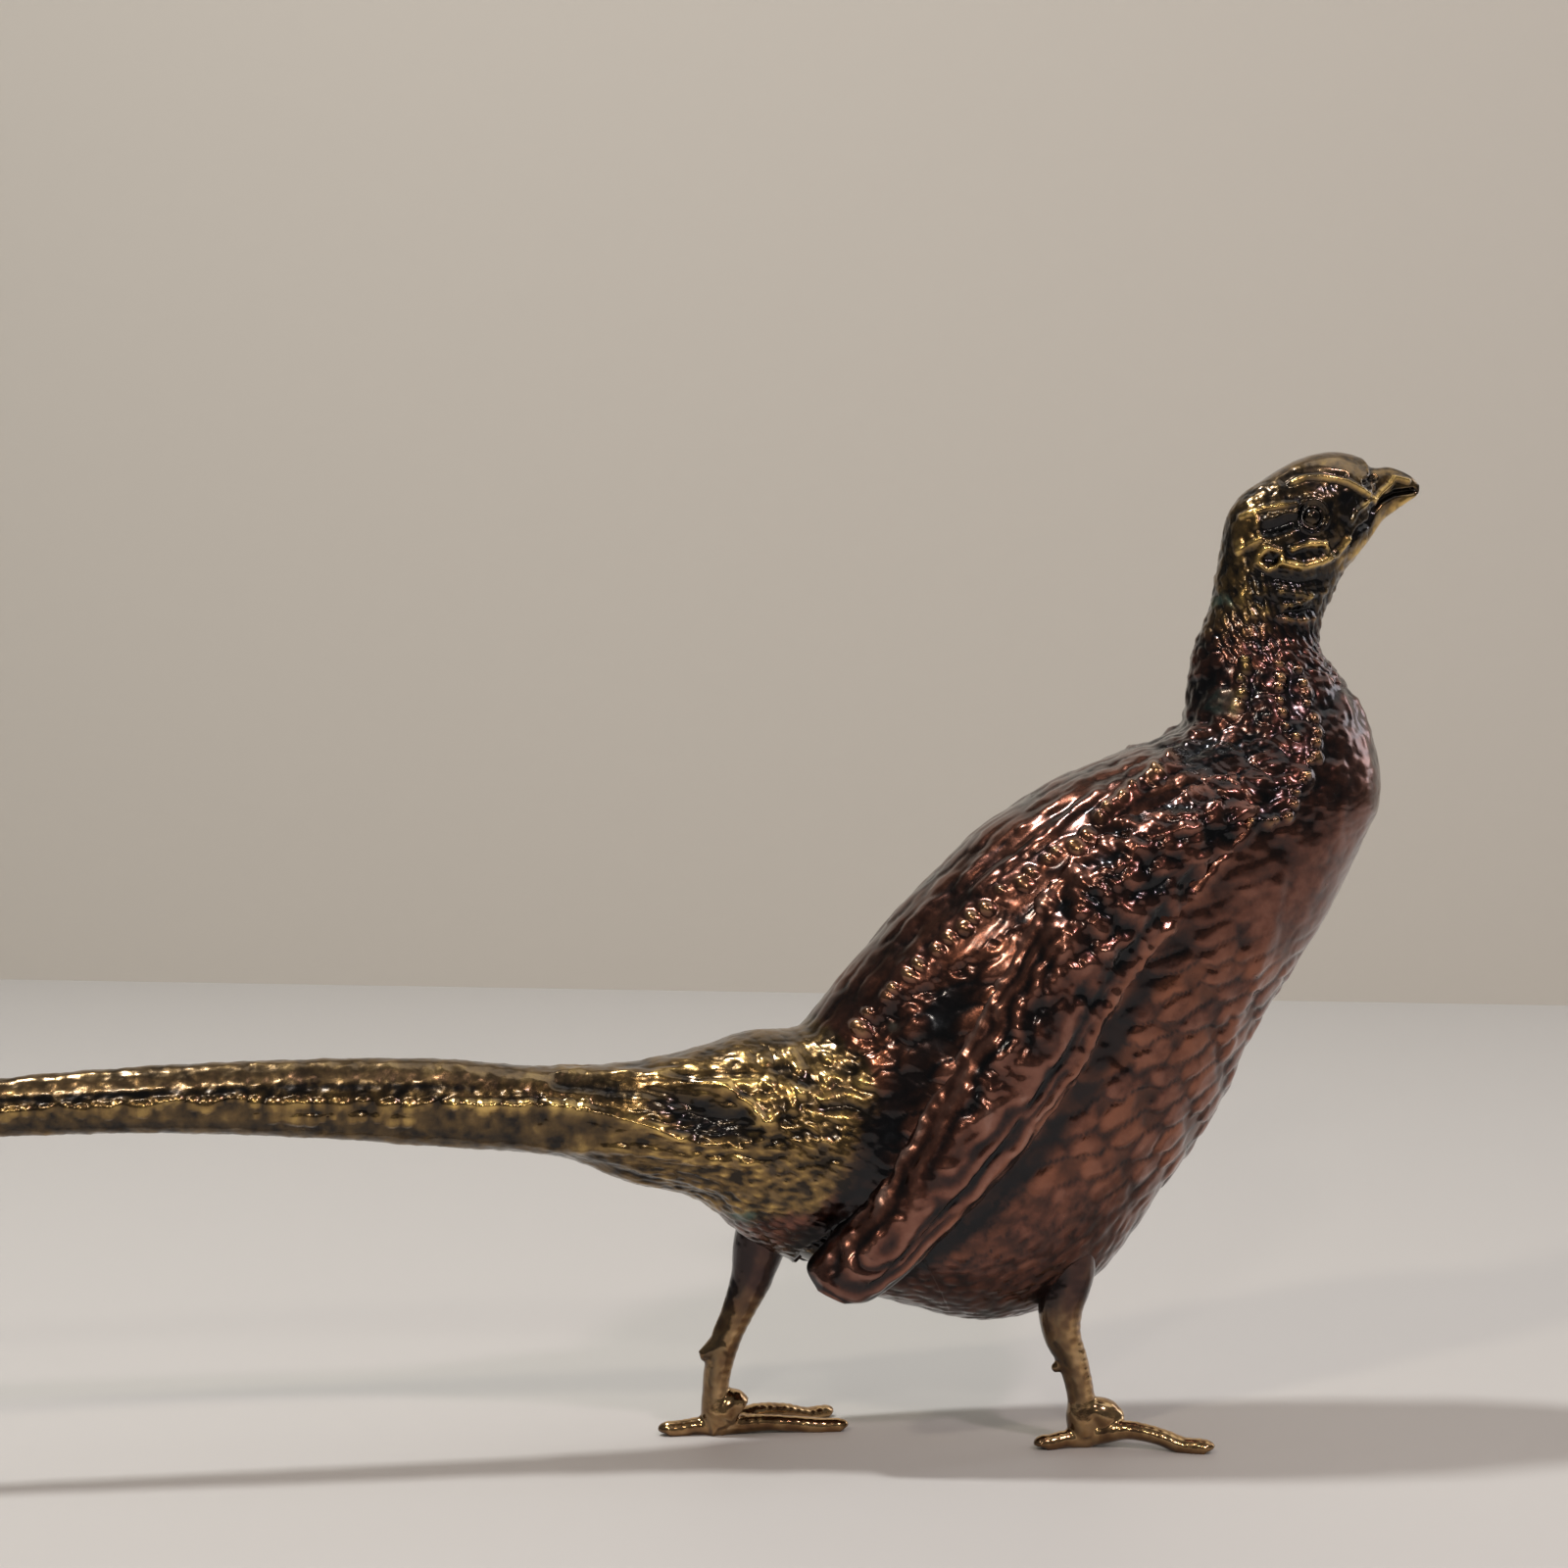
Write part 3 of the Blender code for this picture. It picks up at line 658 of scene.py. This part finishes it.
# Folded wing, a pad whose inner half is sunk in the trunk. Each station gives the upper edge x, z, the lower
# edge x, z, how far out its outer side stands, and half its thickness.
wing = {
    "rows": 330,
    "columns": 170,
    "scanRows": 70,  # rows where only its outline is read
    "edgeSag": 0.7,
    "upperSag": 1.2,  # the upper edge bends further in, down to the back
    "blendEnd": 0.5,  # share of the wing's length along which its sides run into the shoulder
    "tuck": 4,  # how deep they run in
    "covert": {"length": 9, "width": 5.2, "tip": 3.4, "overlap": 0.55, "rim": 1.2},
    "strandSpacing": 2.2,  # mm between the nested strands of the long feathers
    "dish": (0.53, 0.28, 0.14, 0.42),  # hollow under the upper ridge: place down and across, half sizes
    "form": [
        (425, 690, 462, 676, 88, 5),
        (368, 664, 468, 626, 131, 17),
        (270, 612, 412, 556, 147, 21),
        (207, 528, 330, 462, 152, 22),
        (155, 432, 275, 374, 152, 22),
        (113, 355, 215, 298, 147, 21),
        (72, 280, 152, 236, 139, 19),
        (28, 222, 98, 184, 130, 16),
        (6, 196, 64, 163, 124, 11),
        (14, 176, 40, 163, 119, 4),
    ],
}


def shapeWing(name, side):
    form = smoothThrough(wing["form"], rows=wing["rows"])
    angle = np.linspace(0, 2 * math.pi, wing["columns"], endpoint=False)
    across, out = np.cos(angle)[None, :, None], -np.sin(angle)[None, :]
    upper, lower = form[:, None, 0:2], form[:, None, 2:4]
    flat = (upper + lower) / 2 + (upper - lower) / 2 * across
    across = across[..., 0] * np.ones((wing["rows"], 1))
    down = np.linspace(0, 1, wing["rows"])[:, None] * np.ones(across.shape)
    thick = form[:, None, 5]
    outerSide = wingReach(flat[..., 0], flat[..., 1], across, down, form[:, None, 4], thick)
    y = outerSide + thick * (out - np.abs(out))
    points = np.dstack([flat[..., 0] * unit + originX, y * unit, flat[..., 1] * unit])
    width = np.linalg.norm(form[:, 0:2] - form[:, 2:4], axis=1)[:, None] * unit
    along, crosswise = alongColumns(points), (1 - across) / 2 * width
    mid, fine = lumps(points, 4.6 * mm, 12 + side), lumps(points, 1.7 * mm, 15)
    big = lumps(points, 9 * mm, 33, 1)
    bumpyZone = 1 - smoothStep(0.34, 0.5, down + 0.10 * across)
    coverts = plume(along + mm * mid, crosswise, wing["covert"], 21.0)
    covertLift = coverts["lift"]
    toLower, toUpper = (1 + across) / 2 * width + 0.6 * mm, (1 - across) / 2 * width + 0.6 * mm
    toTip = (1 - down) * along.max() * 0.75
    inward = 1 / np.sqrt(1 / toLower**2 + 1 / toTip**2 + 0.7 / toUpper**2) + 2.2 * mm * big + 0.4 * mm * mid
    # Strands nested round the wing's tip.
    strand = 0.5 + 0.5 * np.cos(2 * math.pi * inward / (wing["strandSpacing"] * mm))
    strand = strand * (0.8 + 0.5 * mid)
    upperRidge = 1 - smoothStep(0, 0.17, np.abs(across - 0.82 + 0.06 * big))
    lowerRidge = 1 - smoothStep(0, 0.17, np.abs(across + 0.72))
    lowerGroove = 1 - smoothStep(0, 0.10, np.abs(across + 0.44))
    dishDown, dishAcross, halfDown, halfAcross = wing["dish"]
    dish = np.clip(1 - np.hypot((down - dishDown) / halfDown, (across - dishAcross) / halfAcross), 0, 1)
    midRun = smoothStep(0.2, 0.34, down) * (1 - smoothStep(0.84, 0.95, down))
    outer = np.clip(out, 0, 1) ** 0.5
    knots = np.clip(mid, -0.5, 1)
    relief = bumpyZone * (0.7 * (covertLift - 0.35) + 0.95 * mid + 0.3 * fine)
    relief += (1 - bumpyZone) * (0.5 * (strand - 0.4) + 0.16 * mid)
    ridges = 1.1 * upperRidge * (1 + 0.9 * knots) + 0.8 * lowerRidge - 0.5 * lowerGroove
    relief += midRun * ridges - 0.5 * dish
    relief += fine * (0.04 + 0.12 * upperRidge * midRun + 0.4 * dish) + 0.6 * mid * dish
    ends = smoothStep(0, 0.05, down) * smoothStep(1, 0.93, down)
    height = bumpyZone * (0.24 + 0.36 * covertLift + 0.26 * mid) + (1 - bumpyZone) * (0.28 + 0.5 * strand)
    # The ridges, most of all the upper one, are lighter: wear, with a painted highlight.
    height += midRun * (0.34 * upperRidge + 0.26 * lowerRidge - 0.3 * lowerGroove) + 0.1 * mid - 0.15 * dish
    gaps = bumpyZone * (1 - smoothStep(0, 0.5, covertLift))
    gaps = gaps + 1.5 * (1 - bumpyZone) * (1 - smoothStep(0, 0.5, strand))
    pits = bumpyZone * smoothStep(0.15, -0.6, mid)
    pits *= 1 - midRun * np.clip(upperRidge + lowerRidge, 0, 1)
    # Painted shade: darker on the wing's inner side and edges, most along its lower edge, and towards its tip
    # by the belly. The gaps between coverts and strands get painted shade as well as soot.
    dark = (1 - outer) * (1 - 0.65 * smoothStep(0, 0.6, across)) + 0.4 * midRun * lowerGroove
    dark += 0.28 * gaps + 0.38 * pits + 0.2 * dish
    dark = dark - 0.4 * midRun * (lowerRidge + upperRidge) + 0.35 * smoothStep(0.78, 0.97, down)
    marks = marksOf(height, 0, dark, 0.8 * lowerRidge * midRun + 0.4 * mid - 0.2)
    points = points + gridNormals(points) * (relief * mm * ends * outer)[..., None]
    points[..., 1] *= side
    return tubePiece(name, points, marks, flip=side < 0)


# Legs: x, z and thickness against the shank's own. Toes: heading in degrees, length, arch, thickness.
legs = {
    "sides": 28,
    "rows": {"shank": 70, "bump": 12, "toe": 50},
    "voxel": 0.33,  # mm
    "rear": [
        (4, 236, 2.4), (-14, 196, 1.95), (-24, 158, 1.5), (-39, 122, 1.14), (-50, 97, 1.08),
        (-58, 68, 1.0), (-61, 42, 0.95), (-60, 22, 1.1), (-57, 9, 1.0)],
    "front": [
        (280, 226, 1.5), (280, 180, 1.75), (270, 138, 1.55), (273, 110, 1.3), (282, 89, 1.08),
        (288, 68, 1.0), (292, 48, 0.96), (293, 27, 1.15), (296, 12, 1.05)],
    "rearToes": [(-4, 128, 5, 1.0), (24, 136, 12, 0.96), (68, 92, 9, 0.86), (177, 56, 3, 1.08)],
    "frontToes": [(24, 124, 13, 1.08), (-45, 78, 9, 0.93), (-82, 66, 7, 0.86), (173, 48, 3, 1.08)],
    "rearSpur": [(-52, 90, 1.16), (-64, 84, 0.86), (-77, 80, 0.34)],
    "frontSpur": [(280, 84, 0.6), (270, 82, 0.45), (262, 78, 0.25)],
    "rearKnuckle": [(-54, 20, 1.2), (-44, 30, 1.15), (-36, 24, 1.0)],
    "frontKnuckle": [(298, 36, 1.0), (314, 30, 1.25), (326, 20, 1.1)],
    "toeProfile": [  # share of its length, share of its thickness
        (-0.1, 1.1), (0.12, 1.15), (0.35, 1.0), (0.6, 0.94),
        (0.8, 0.98), (0.95, 0.95), (0.99, 0.88), (1.0, 0.7)],
    "toePad": 0.78,  # share of its length where the arch comes down
    "scuteSpacing": 1.7,  # mm
}


def limbRings(path, rows, sides):
    p = smoothThrough(path, rows=rows)
    heading = np.gradient(p[:, :3], axis=0)
    heading /= np.linalg.norm(heading, axis=1, keepdims=True)
    upright = np.abs(heading[:, 2]).max() > 0.75
    reference = (0.0, 1.0, 0.0) if upright else (0.0, 0.0, 1.0)
    first = np.cross(heading, np.broadcast_to(reference, heading.shape))
    first /= np.linalg.norm(first, axis=1, keepdims=True)
    second = np.cross(heading, first)
    angle = np.linspace(0, 2 * math.pi, sides, endpoint=False)[None, :, None]
    spokes = np.cos(angle) * first[:, None] + np.sin(angle) * second[:, None]
    return p[:, None, :3] + p[:, None, 3:4] * spokes


def limbPath(path, side):
    y = side * figure["hipSpacing"] / 2
    radius = figure["shankDiameter"] / 2
    return [(x * unit + originX, y, z * unit, k * radius) for x, z, k in path]


def toePath(ankle, side, form):
    heading, length, arch, girth = form
    turn = math.radians(heading) * side
    path = []
    for t, swelling in legs["toeProfile"]:
        radius = figure["toeDiameter"] / 2 * girth * swelling
        reach = length * unit * t
        rise = arch * unit * math.sin(math.pi * min(max(t / legs["toePad"], 0), 1))
        x = ankle[0] * unit + originX + reach * math.cos(turn)
        y = side * figure["hipSpacing"] / 2 + reach * math.sin(turn)
        path.append((x, y, radius - figure["soleFlat"] * girth + rise, radius))
    return path


def shapeLeg(name, side, leg):
    path, rows, sides = legs[leg], legs["rows"], legs["sides"]
    tubes = [limbRings(limbPath(path, side), rows["shank"], sides)]
    for bump in (legs[leg + "Spur"], legs[leg + "Knuckle"]):
        tubes.append(limbRings(limbPath(bump, side), rows["bump"], sides))
    for form in legs[leg + "Toes"]:
        tubes.append(limbRings(toePath(path[-1], side, form), rows["toe"], sides))
    vertices, faces = [], []
    for rings in tubes:
        start = sum(len(v) for v in vertices)
        vertices.append(tubePoints(rings))
        faces += [tuple(start + i for i in face) for face in tubeFaces(*rings.shape[:2])]
    rough = makeMesh(name + "_rough", np.vstack(vertices), faces, {})
    fuse = rough.modifiers.new("fuse", "REMESH")
    fuse.mode = "VOXEL"
    fuse.voxel_size = legs["voxel"] * mm
    soften = rough.modifiers.new("soften", "SMOOTH")
    soften.factor, soften.iterations = 0.5, 4
    bpy.context.view_layer.update()
    mesh = bpy.data.meshes.new_from_object(rough.evaluated_get(bpy.context.evaluated_depsgraph_get()))
    bpy.data.objects.remove(rough)
    count = len(mesh.vertices)
    co, normal = np.zeros(count * 3), np.zeros(count * 3)
    mesh.vertices.foreach_get("co", co)
    mesh.vertex_normals.foreach_get("vector", normal)
    co, normal = co.reshape(-1, 3), normal.reshape(-1, 3)
    ankle = np.array([path[-1][0] * unit + originX, side * figure["hipSpacing"] / 2])
    fromAnkle = np.linalg.norm(co[:, :2] - ankle, axis=1)
    onShank = smoothStep(24, 36, co[:, 2] / unit)
    onThigh = smoothStep(118, 165, co[:, 2] / unit)
    run = np.where(onShank > 0.5, co[:, 2], fromAnkle)
    scute = 0.5 + 0.5 * np.cos(2 * math.pi * run / (legs["scuteSpacing"] * mm))
    mottled, fine = lumps(co, 2.8 * mm, 31), lumps(co, 1.0 * mm, 37)
    wave = np.sin(3 * np.arctan2(normal[:, 1], normal[:, 0]) + 0.6 + mottled)
    stripes = onShank * (1 - onThigh) * smoothStep(0.1, 0.9, wave)
    upper = smoothStep(-0.2, 0.5, np.where(onShank > 0.5, normal[:, 0], normal[:, 2]))
    relief = 0.05 * (scute - 0.5) * upper * (1 - onThigh) + 0.07 * mottled + 0.02 * fine
    co = co + normal * (relief * mm)[:, None]
    co[:, 2] = np.maximum(co[:, 2], 0)
    mesh.vertices.foreach_set("co", co.ravel())
    # Painted light and shade: the thigh is dark as shade under the body, faces turned back and down are
    # darker, the shank has painted reflection stripes by facing, and upward faces are lighter.
    soot = 0.8 * onThigh + 0.55 * smoothStep(-0.1, -0.8, normal[:, 0]) + 0.45 * stripes
    soot = soot + 0.4 * smoothStep(0, -0.7, normal[:, 2])
    height = 0.6 + 0.16 * mottled + 0.10 * (scute - 0.5) * upper + 0.12 * normal[:, 2]
    return finishMesh(name, mesh, marksOf(height, 1 - onThigh + 0.2 * mottled, soot, mottled))


def linear(hexColour):  # sRGB hex to the linear values Blender wants
    channels = [int(hexColour[i:i + 2], 16) / 255 for i in (1, 3, 5)]
    return tuple(c / 12.92 if c <= 0.04045 else ((c + 0.055) / 1.055) ** 2.4 for c in channels) + (1,)


def setInputs(tree, node, inputs):  # values, colours as sRGB hex, and links
    for key, value in inputs.items():
        if isinstance(value, bpy.types.NodeSocket):
            tree.links.new(value, node.inputs[key])
        else:
            node.inputs[key].default_value = linear(value) if isinstance(value, str) else value


def addNode(tree, kind, inputs, **settings):  # one node with its inputs and settings
    node = tree.nodes.new("ShaderNode" + kind)
    for key, value in settings.items():
        if key == "stops":
            ramp = node.color_ramp.elements
            while len(ramp) < len(value):
                ramp.new(0.5)
            for element, (position, colour) in zip(ramp, value):
                element.position, element.color = position, linear(colour)
        else:
            setattr(node, key, value)
    setInputs(tree, node, inputs)
    return node


def newMaterial(name):
    material = bpy.data.materials.new(name)
    material.use_nodes = True
    return material, material.node_tree, material.node_tree.nodes["Principled BSDF"]


# Cast bronze with a glossy red-brown lacquer patina, rubbed back to brass on the head, rump, tail and legs.
# The patina gives dark, deep-coloured metal; wear lightens the ridges and soot-black stays in the hollows.
# The soot mark also carries painted shade: under the wing's edges, under feather tips, low on the body and on
# the legs. Some lighter tones are painted highlights and a painted reflection.
castBronze = {
    "brownStops": [(0.15, "#141519"), (0.50, "#6c4234"), (0.78, "#885c4d"), (1.0, "#9f7e72")],
    "brassStops": [(0.25, "#251c11"), (0.55, "#82673d"), (0.90, "#dcb76c")],
    "shadeStops": [(0.15, "#616169"), (0.6, "#ffffff")],  # darkens the brown's hollows further
    "shading": 0.55,
    "orange": "#90583e",
    "orangeMost": 0.75,
    "copperTint": "#84705a",
    "copperMost": 0.55,
    # the soot-black of the hollows, also used as painted shade
    "hollow": "#141519",
    "hollowMost": 0.9,
    "verdigris": "#56847a",
    "roughness": 0.23,
    "roughnessSpread": 0.22,
    "coat": 0.5,
    "coatRoughness": 0.14,
    "mottleMm": 6.0,
    "mottleDepth": 0.42,  # how far it shifts the place on the colour stops
    "speckMm": 1.6,
    "speckDepth": 0.36,
    "grainMm": 0.45,
    "pitDepthMm": 0.12,
    "grainDepthMm": 0.04,
}
rubbedBrass = castBronze | {
    "brassStops": [(0.25, "#251c11"), (0.55, "#8d6b45"), (0.90, "#eec68a")],
    "roughness": 0.15,
    "mottleDepth": 0.16,
    "speckDepth": 0.16,
}


def makeBronze(name, choices):
    material, tree, shader = newMaterial(name)
    mark = {}
    for key in ("relief", "brass", "soot", "tint", "bloom"):
        mark[key] = addNode(tree, "Attribute", {}, attribute_name=key).outputs["Fac"]
    place = addNode(tree, "TexCoord", {}).outputs["Object"]
    pattern = {}
    for key, detail, roughness in (("mottle", 5.0, 0.62), ("speck", 4.0, 0.6), ("grain", 3.0, 0.5)):
        scale = 1 / (choices[key + "Mm"] * mm)
        inputs = {"Vector": place, "Scale": scale, "Detail": detail, "Roughness": roughness}
        pattern[key] = addNode(tree, "TexNoise", inputs).outputs["Fac"]
    height = mark["relief"]
    for key in ("mottle", "speck"):
        depth = choices[key + "Depth"]
        swing = addNode(tree, "Math", {0: pattern[key], 1: depth, 2: -depth / 2}, operation="MULTIPLY_ADD")
        total = addNode(tree, "Math", {0: height, 1: swing.outputs[0]}, operation="ADD")
        height = total.outputs[0]
    total.use_clamp = True
    brown, brass, shade = (
        addNode(tree, "ValToRGB", {"Fac": height}, stops=choices[key]).outputs["Color"]
        for key in ("brownStops", "brassStops", "shadeStops"))
    warm = addNode(tree, "MapRange", {"Value": mark["tint"], "To Max": choices["orangeMost"]})
    copper = addNode(tree, "MapRange", {
        "Value": mark["tint"], "From Min": 0.1, "To Max": choices["copperMost"]})
    coppery = addNode(tree, "Mix", {
        0: copper.outputs[0], 6: brass, 7: choices["copperTint"]}, data_type="RGBA")
    # How far the soot-and-shade mark darkens towards the hollow colour: soot in the hollows, and painted
    # shade.
    sootAndShadeShare = addNode(tree, "Math", {
        0: mark["soot"], 1: choices["hollowMost"]}, operation="MULTIPLY", use_clamp=True)
    bloom = addNode(tree, "Math", {
        0: mark["bloom"], 1: pattern["speck"]}, operation="MULTIPLY", use_clamp=True)
    colour = brown
    for share, over, blend in (
            (warm.outputs[0], choices["orange"], "MIX"),
            (choices["shading"], shade, "MULTIPLY"),
            (mark["brass"], coppery.outputs[2], "MIX"),
            (sootAndShadeShare.outputs[0], choices["hollow"], "MIX"),
            (bloom.outputs[0], choices["verdigris"], "MIX")):
        layer = addNode(tree, "Mix", {0: share, 6: colour, 7: over}, data_type="RGBA", blend_type=blend)
        colour = layer.outputs[2]
    spread = choices["roughnessSpread"]
    gloss = addNode(tree, "Math", {
        0: pattern["speck"], 1: spread, 2: choices["roughness"] - spread / 2}, operation="MULTIPLY_ADD")
    dull = addNode(tree, "Math", {  # verdigris is dull and barely metal
        0: bloom.outputs[0], 1: 0.5, 2: gloss.outputs[0]}, operation="MULTIPLY_ADD", use_clamp=True)
    metallic = addNode(tree, "Math", {
        0: bloom.outputs[0], 1: -0.9, 2: 1.0}, operation="MULTIPLY_ADD", use_clamp=True)
    pits = addNode(tree, "Bump", {
        "Strength": 0.35, "Distance": choices["pitDepthMm"] * mm, "Height": pattern["speck"]})
    fineBump = addNode(tree, "Bump", {
        "Strength": 0.3, "Distance": choices["grainDepthMm"] * mm, "Height": pattern["grain"],
        "Normal": pits.outputs["Normal"]})
    setInputs(tree, shader, {
        "Base Color": colour, "Roughness": dull.outputs[0], "Metallic": metallic.outputs[0],
        "Normal": fineBump.outputs["Normal"], "Coat Weight": choices["coat"],
        "Coat Roughness": choices["coatRoughness"]})
    return material


bronze = makeBronze("cast bronze, lacquer patina rubbed back to brass", castBronze)
shinyBronze = makeBronze("cast bronze, rubbed bright, painted shade and highlights", rubbedBrass)
pieces = [shapeHead(), *shapeTrunk(), shapeTail(), shapeWing("right_wing", -1), shapeWing("left_wing", 1)]
pieces += [shapeLeg("left_leg", 1, "rear"), shapeLeg("right_leg", -1, "front")]
for piece in pieces:
    piece.data.materials.append(shinyBronze if piece.name.endswith("_leg") else bronze)
    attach(piece, "root")
    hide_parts("pheasant")
    print("made", piece.name, len(piece.data.polygons), "faces")


def standUp(name, data, location, direction):  # a camera or lamp that looks along a direction
    thing = bpy.data.objects.new(name, data)
    thing.location = location
    thing.rotation_mode = "QUATERNION"
    thing.rotation_quaternion = direction.to_track_quat("-Z", "Y")
    bpy.context.scene.collection.objects.link(thing)
    return thing


# Camera at the photograph's viewing angle: beside the figure, a little towards its tail, at three quarters of
# the figure's height.
camera = {
    "distance": 0.600,  # metres, as the height and the clipping are
    "height": 0.150,
    "towardsTail": 10,  # degrees from straight beside it
    "down": 1.985,  # degrees
    "lens": 71.05,  # mm, as the sensor is
    "sensor": 36.0,
    "clip": (0.01, 20),
}


def placeCamera():
    data = bpy.data.cameras.new("camera")
    data.lens, data.sensor_width = camera["lens"], camera["sensor"]
    data.clip_start, data.clip_end = camera["clip"]
    turn, down, away = math.radians(camera["towardsTail"]), math.radians(camera["down"]), camera["distance"]
    location = (originX - away * math.sin(turn), -away * math.cos(turn), camera["height"])
    forwards = Vector((math.sin(turn) * math.cos(down), math.cos(turn) * math.cos(down), -math.sin(down)))
    eye = standUp("camera", data, location, forwards)
    bpy.context.scene.camera = eye
    return eye


# Plain stage: a pale table top and a plain wall behind it.
stage = {
    "table": "#c0beba",
    "tableRoughness": 0.55,
    "wall": "#c6c1b7",
    "wallRoughness": 0.8,
    "wallDistance": 1.467,  # metres from the camera
    "wallTurn": -19.3,  # degrees, a little nearer on the right
    "width": 6.0,
}


def plainSheet(name, kind, location, turn):
    bpy.ops.mesh.primitive_plane_add(size=stage["width"], location=location, rotation=turn)
    sheet = bpy.context.object
    sheet.name = name
    material, tree, shader = newMaterial(name + ", matt paint")
    setInputs(tree, shader, {"Base Color": stage[kind], "Roughness": stage[kind + "Roughness"]})
    sheet.data.materials.append(material)


def buildStage(eye):
    turn = math.radians(camera["towardsTail"])
    ahead = Vector((math.sin(turn), math.cos(turn), 0))
    foot = Vector((eye.location.x, eye.location.y, 0)) + ahead * stage["wallDistance"]
    upright = (math.radians(90), 0, math.radians(stage["wallTurn"]))
    plainSheet("table_top", "table", (foot.x, foot.y - stage["width"] / 4, low.z), (0, 0, 0))
    plainSheet("back_wall", "wall", (foot.x, foot.y, 0), upright)


# Soft studio light, with small bright lamps for the sharp glints of lacquered metal.
lamps = [  # name, place, size, watts, colour
    ("key_above", (-0.42, 0.16, 1.5), 0.16, 14, "#ffffff"),
    ("soft_overhead", (1.1, 0.3, 1.9), 2.4, 12, "#fffefc"),
    ("spot_left", (-0.70, -0.90, 1.10), 0.13, 4.8, "#fff0dc"),
    ("spot_right", (0.50, -1.05, 1.1), 0.13, 5.4, "#ffe8f0"),
    ("spot_front", (-0.25, -1.30, 0.75), 0.10, 2.6, "#fff6e8"),
    ("soft_right", (1.3, 0.45, 0.55), 0.7, 3.5, "#f4f6ff"),
]
surroundings = {"aim": (0, 0, 0.1), "colour": "#9a9896", "strength": 0.44}  # aim is where the lamps point


def hangLamps():
    for name, place, size, watts, colour in lamps:
        data = bpy.data.lights.new(name, "AREA")
        data.shape, data.size, data.energy, data.color = "DISK", size, watts, linear(colour)[:3]
        standUp(name, data, place, Vector(surroundings["aim"]) - Vector(place))
    world = bpy.data.worlds.new("studio")
    bpy.context.scene.world = world
    world.use_nodes = True
    light = {"Color": surroundings["colour"], "Strength": surroundings["strength"]}
    setInputs(world.node_tree, world.node_tree.nodes["Background"], light)
    bpy.context.scene.view_settings.view_transform = "Standard"


eye = placeCamera()
buildStage(eye)
hangLamps()
print("stage, lamps and camera are up")
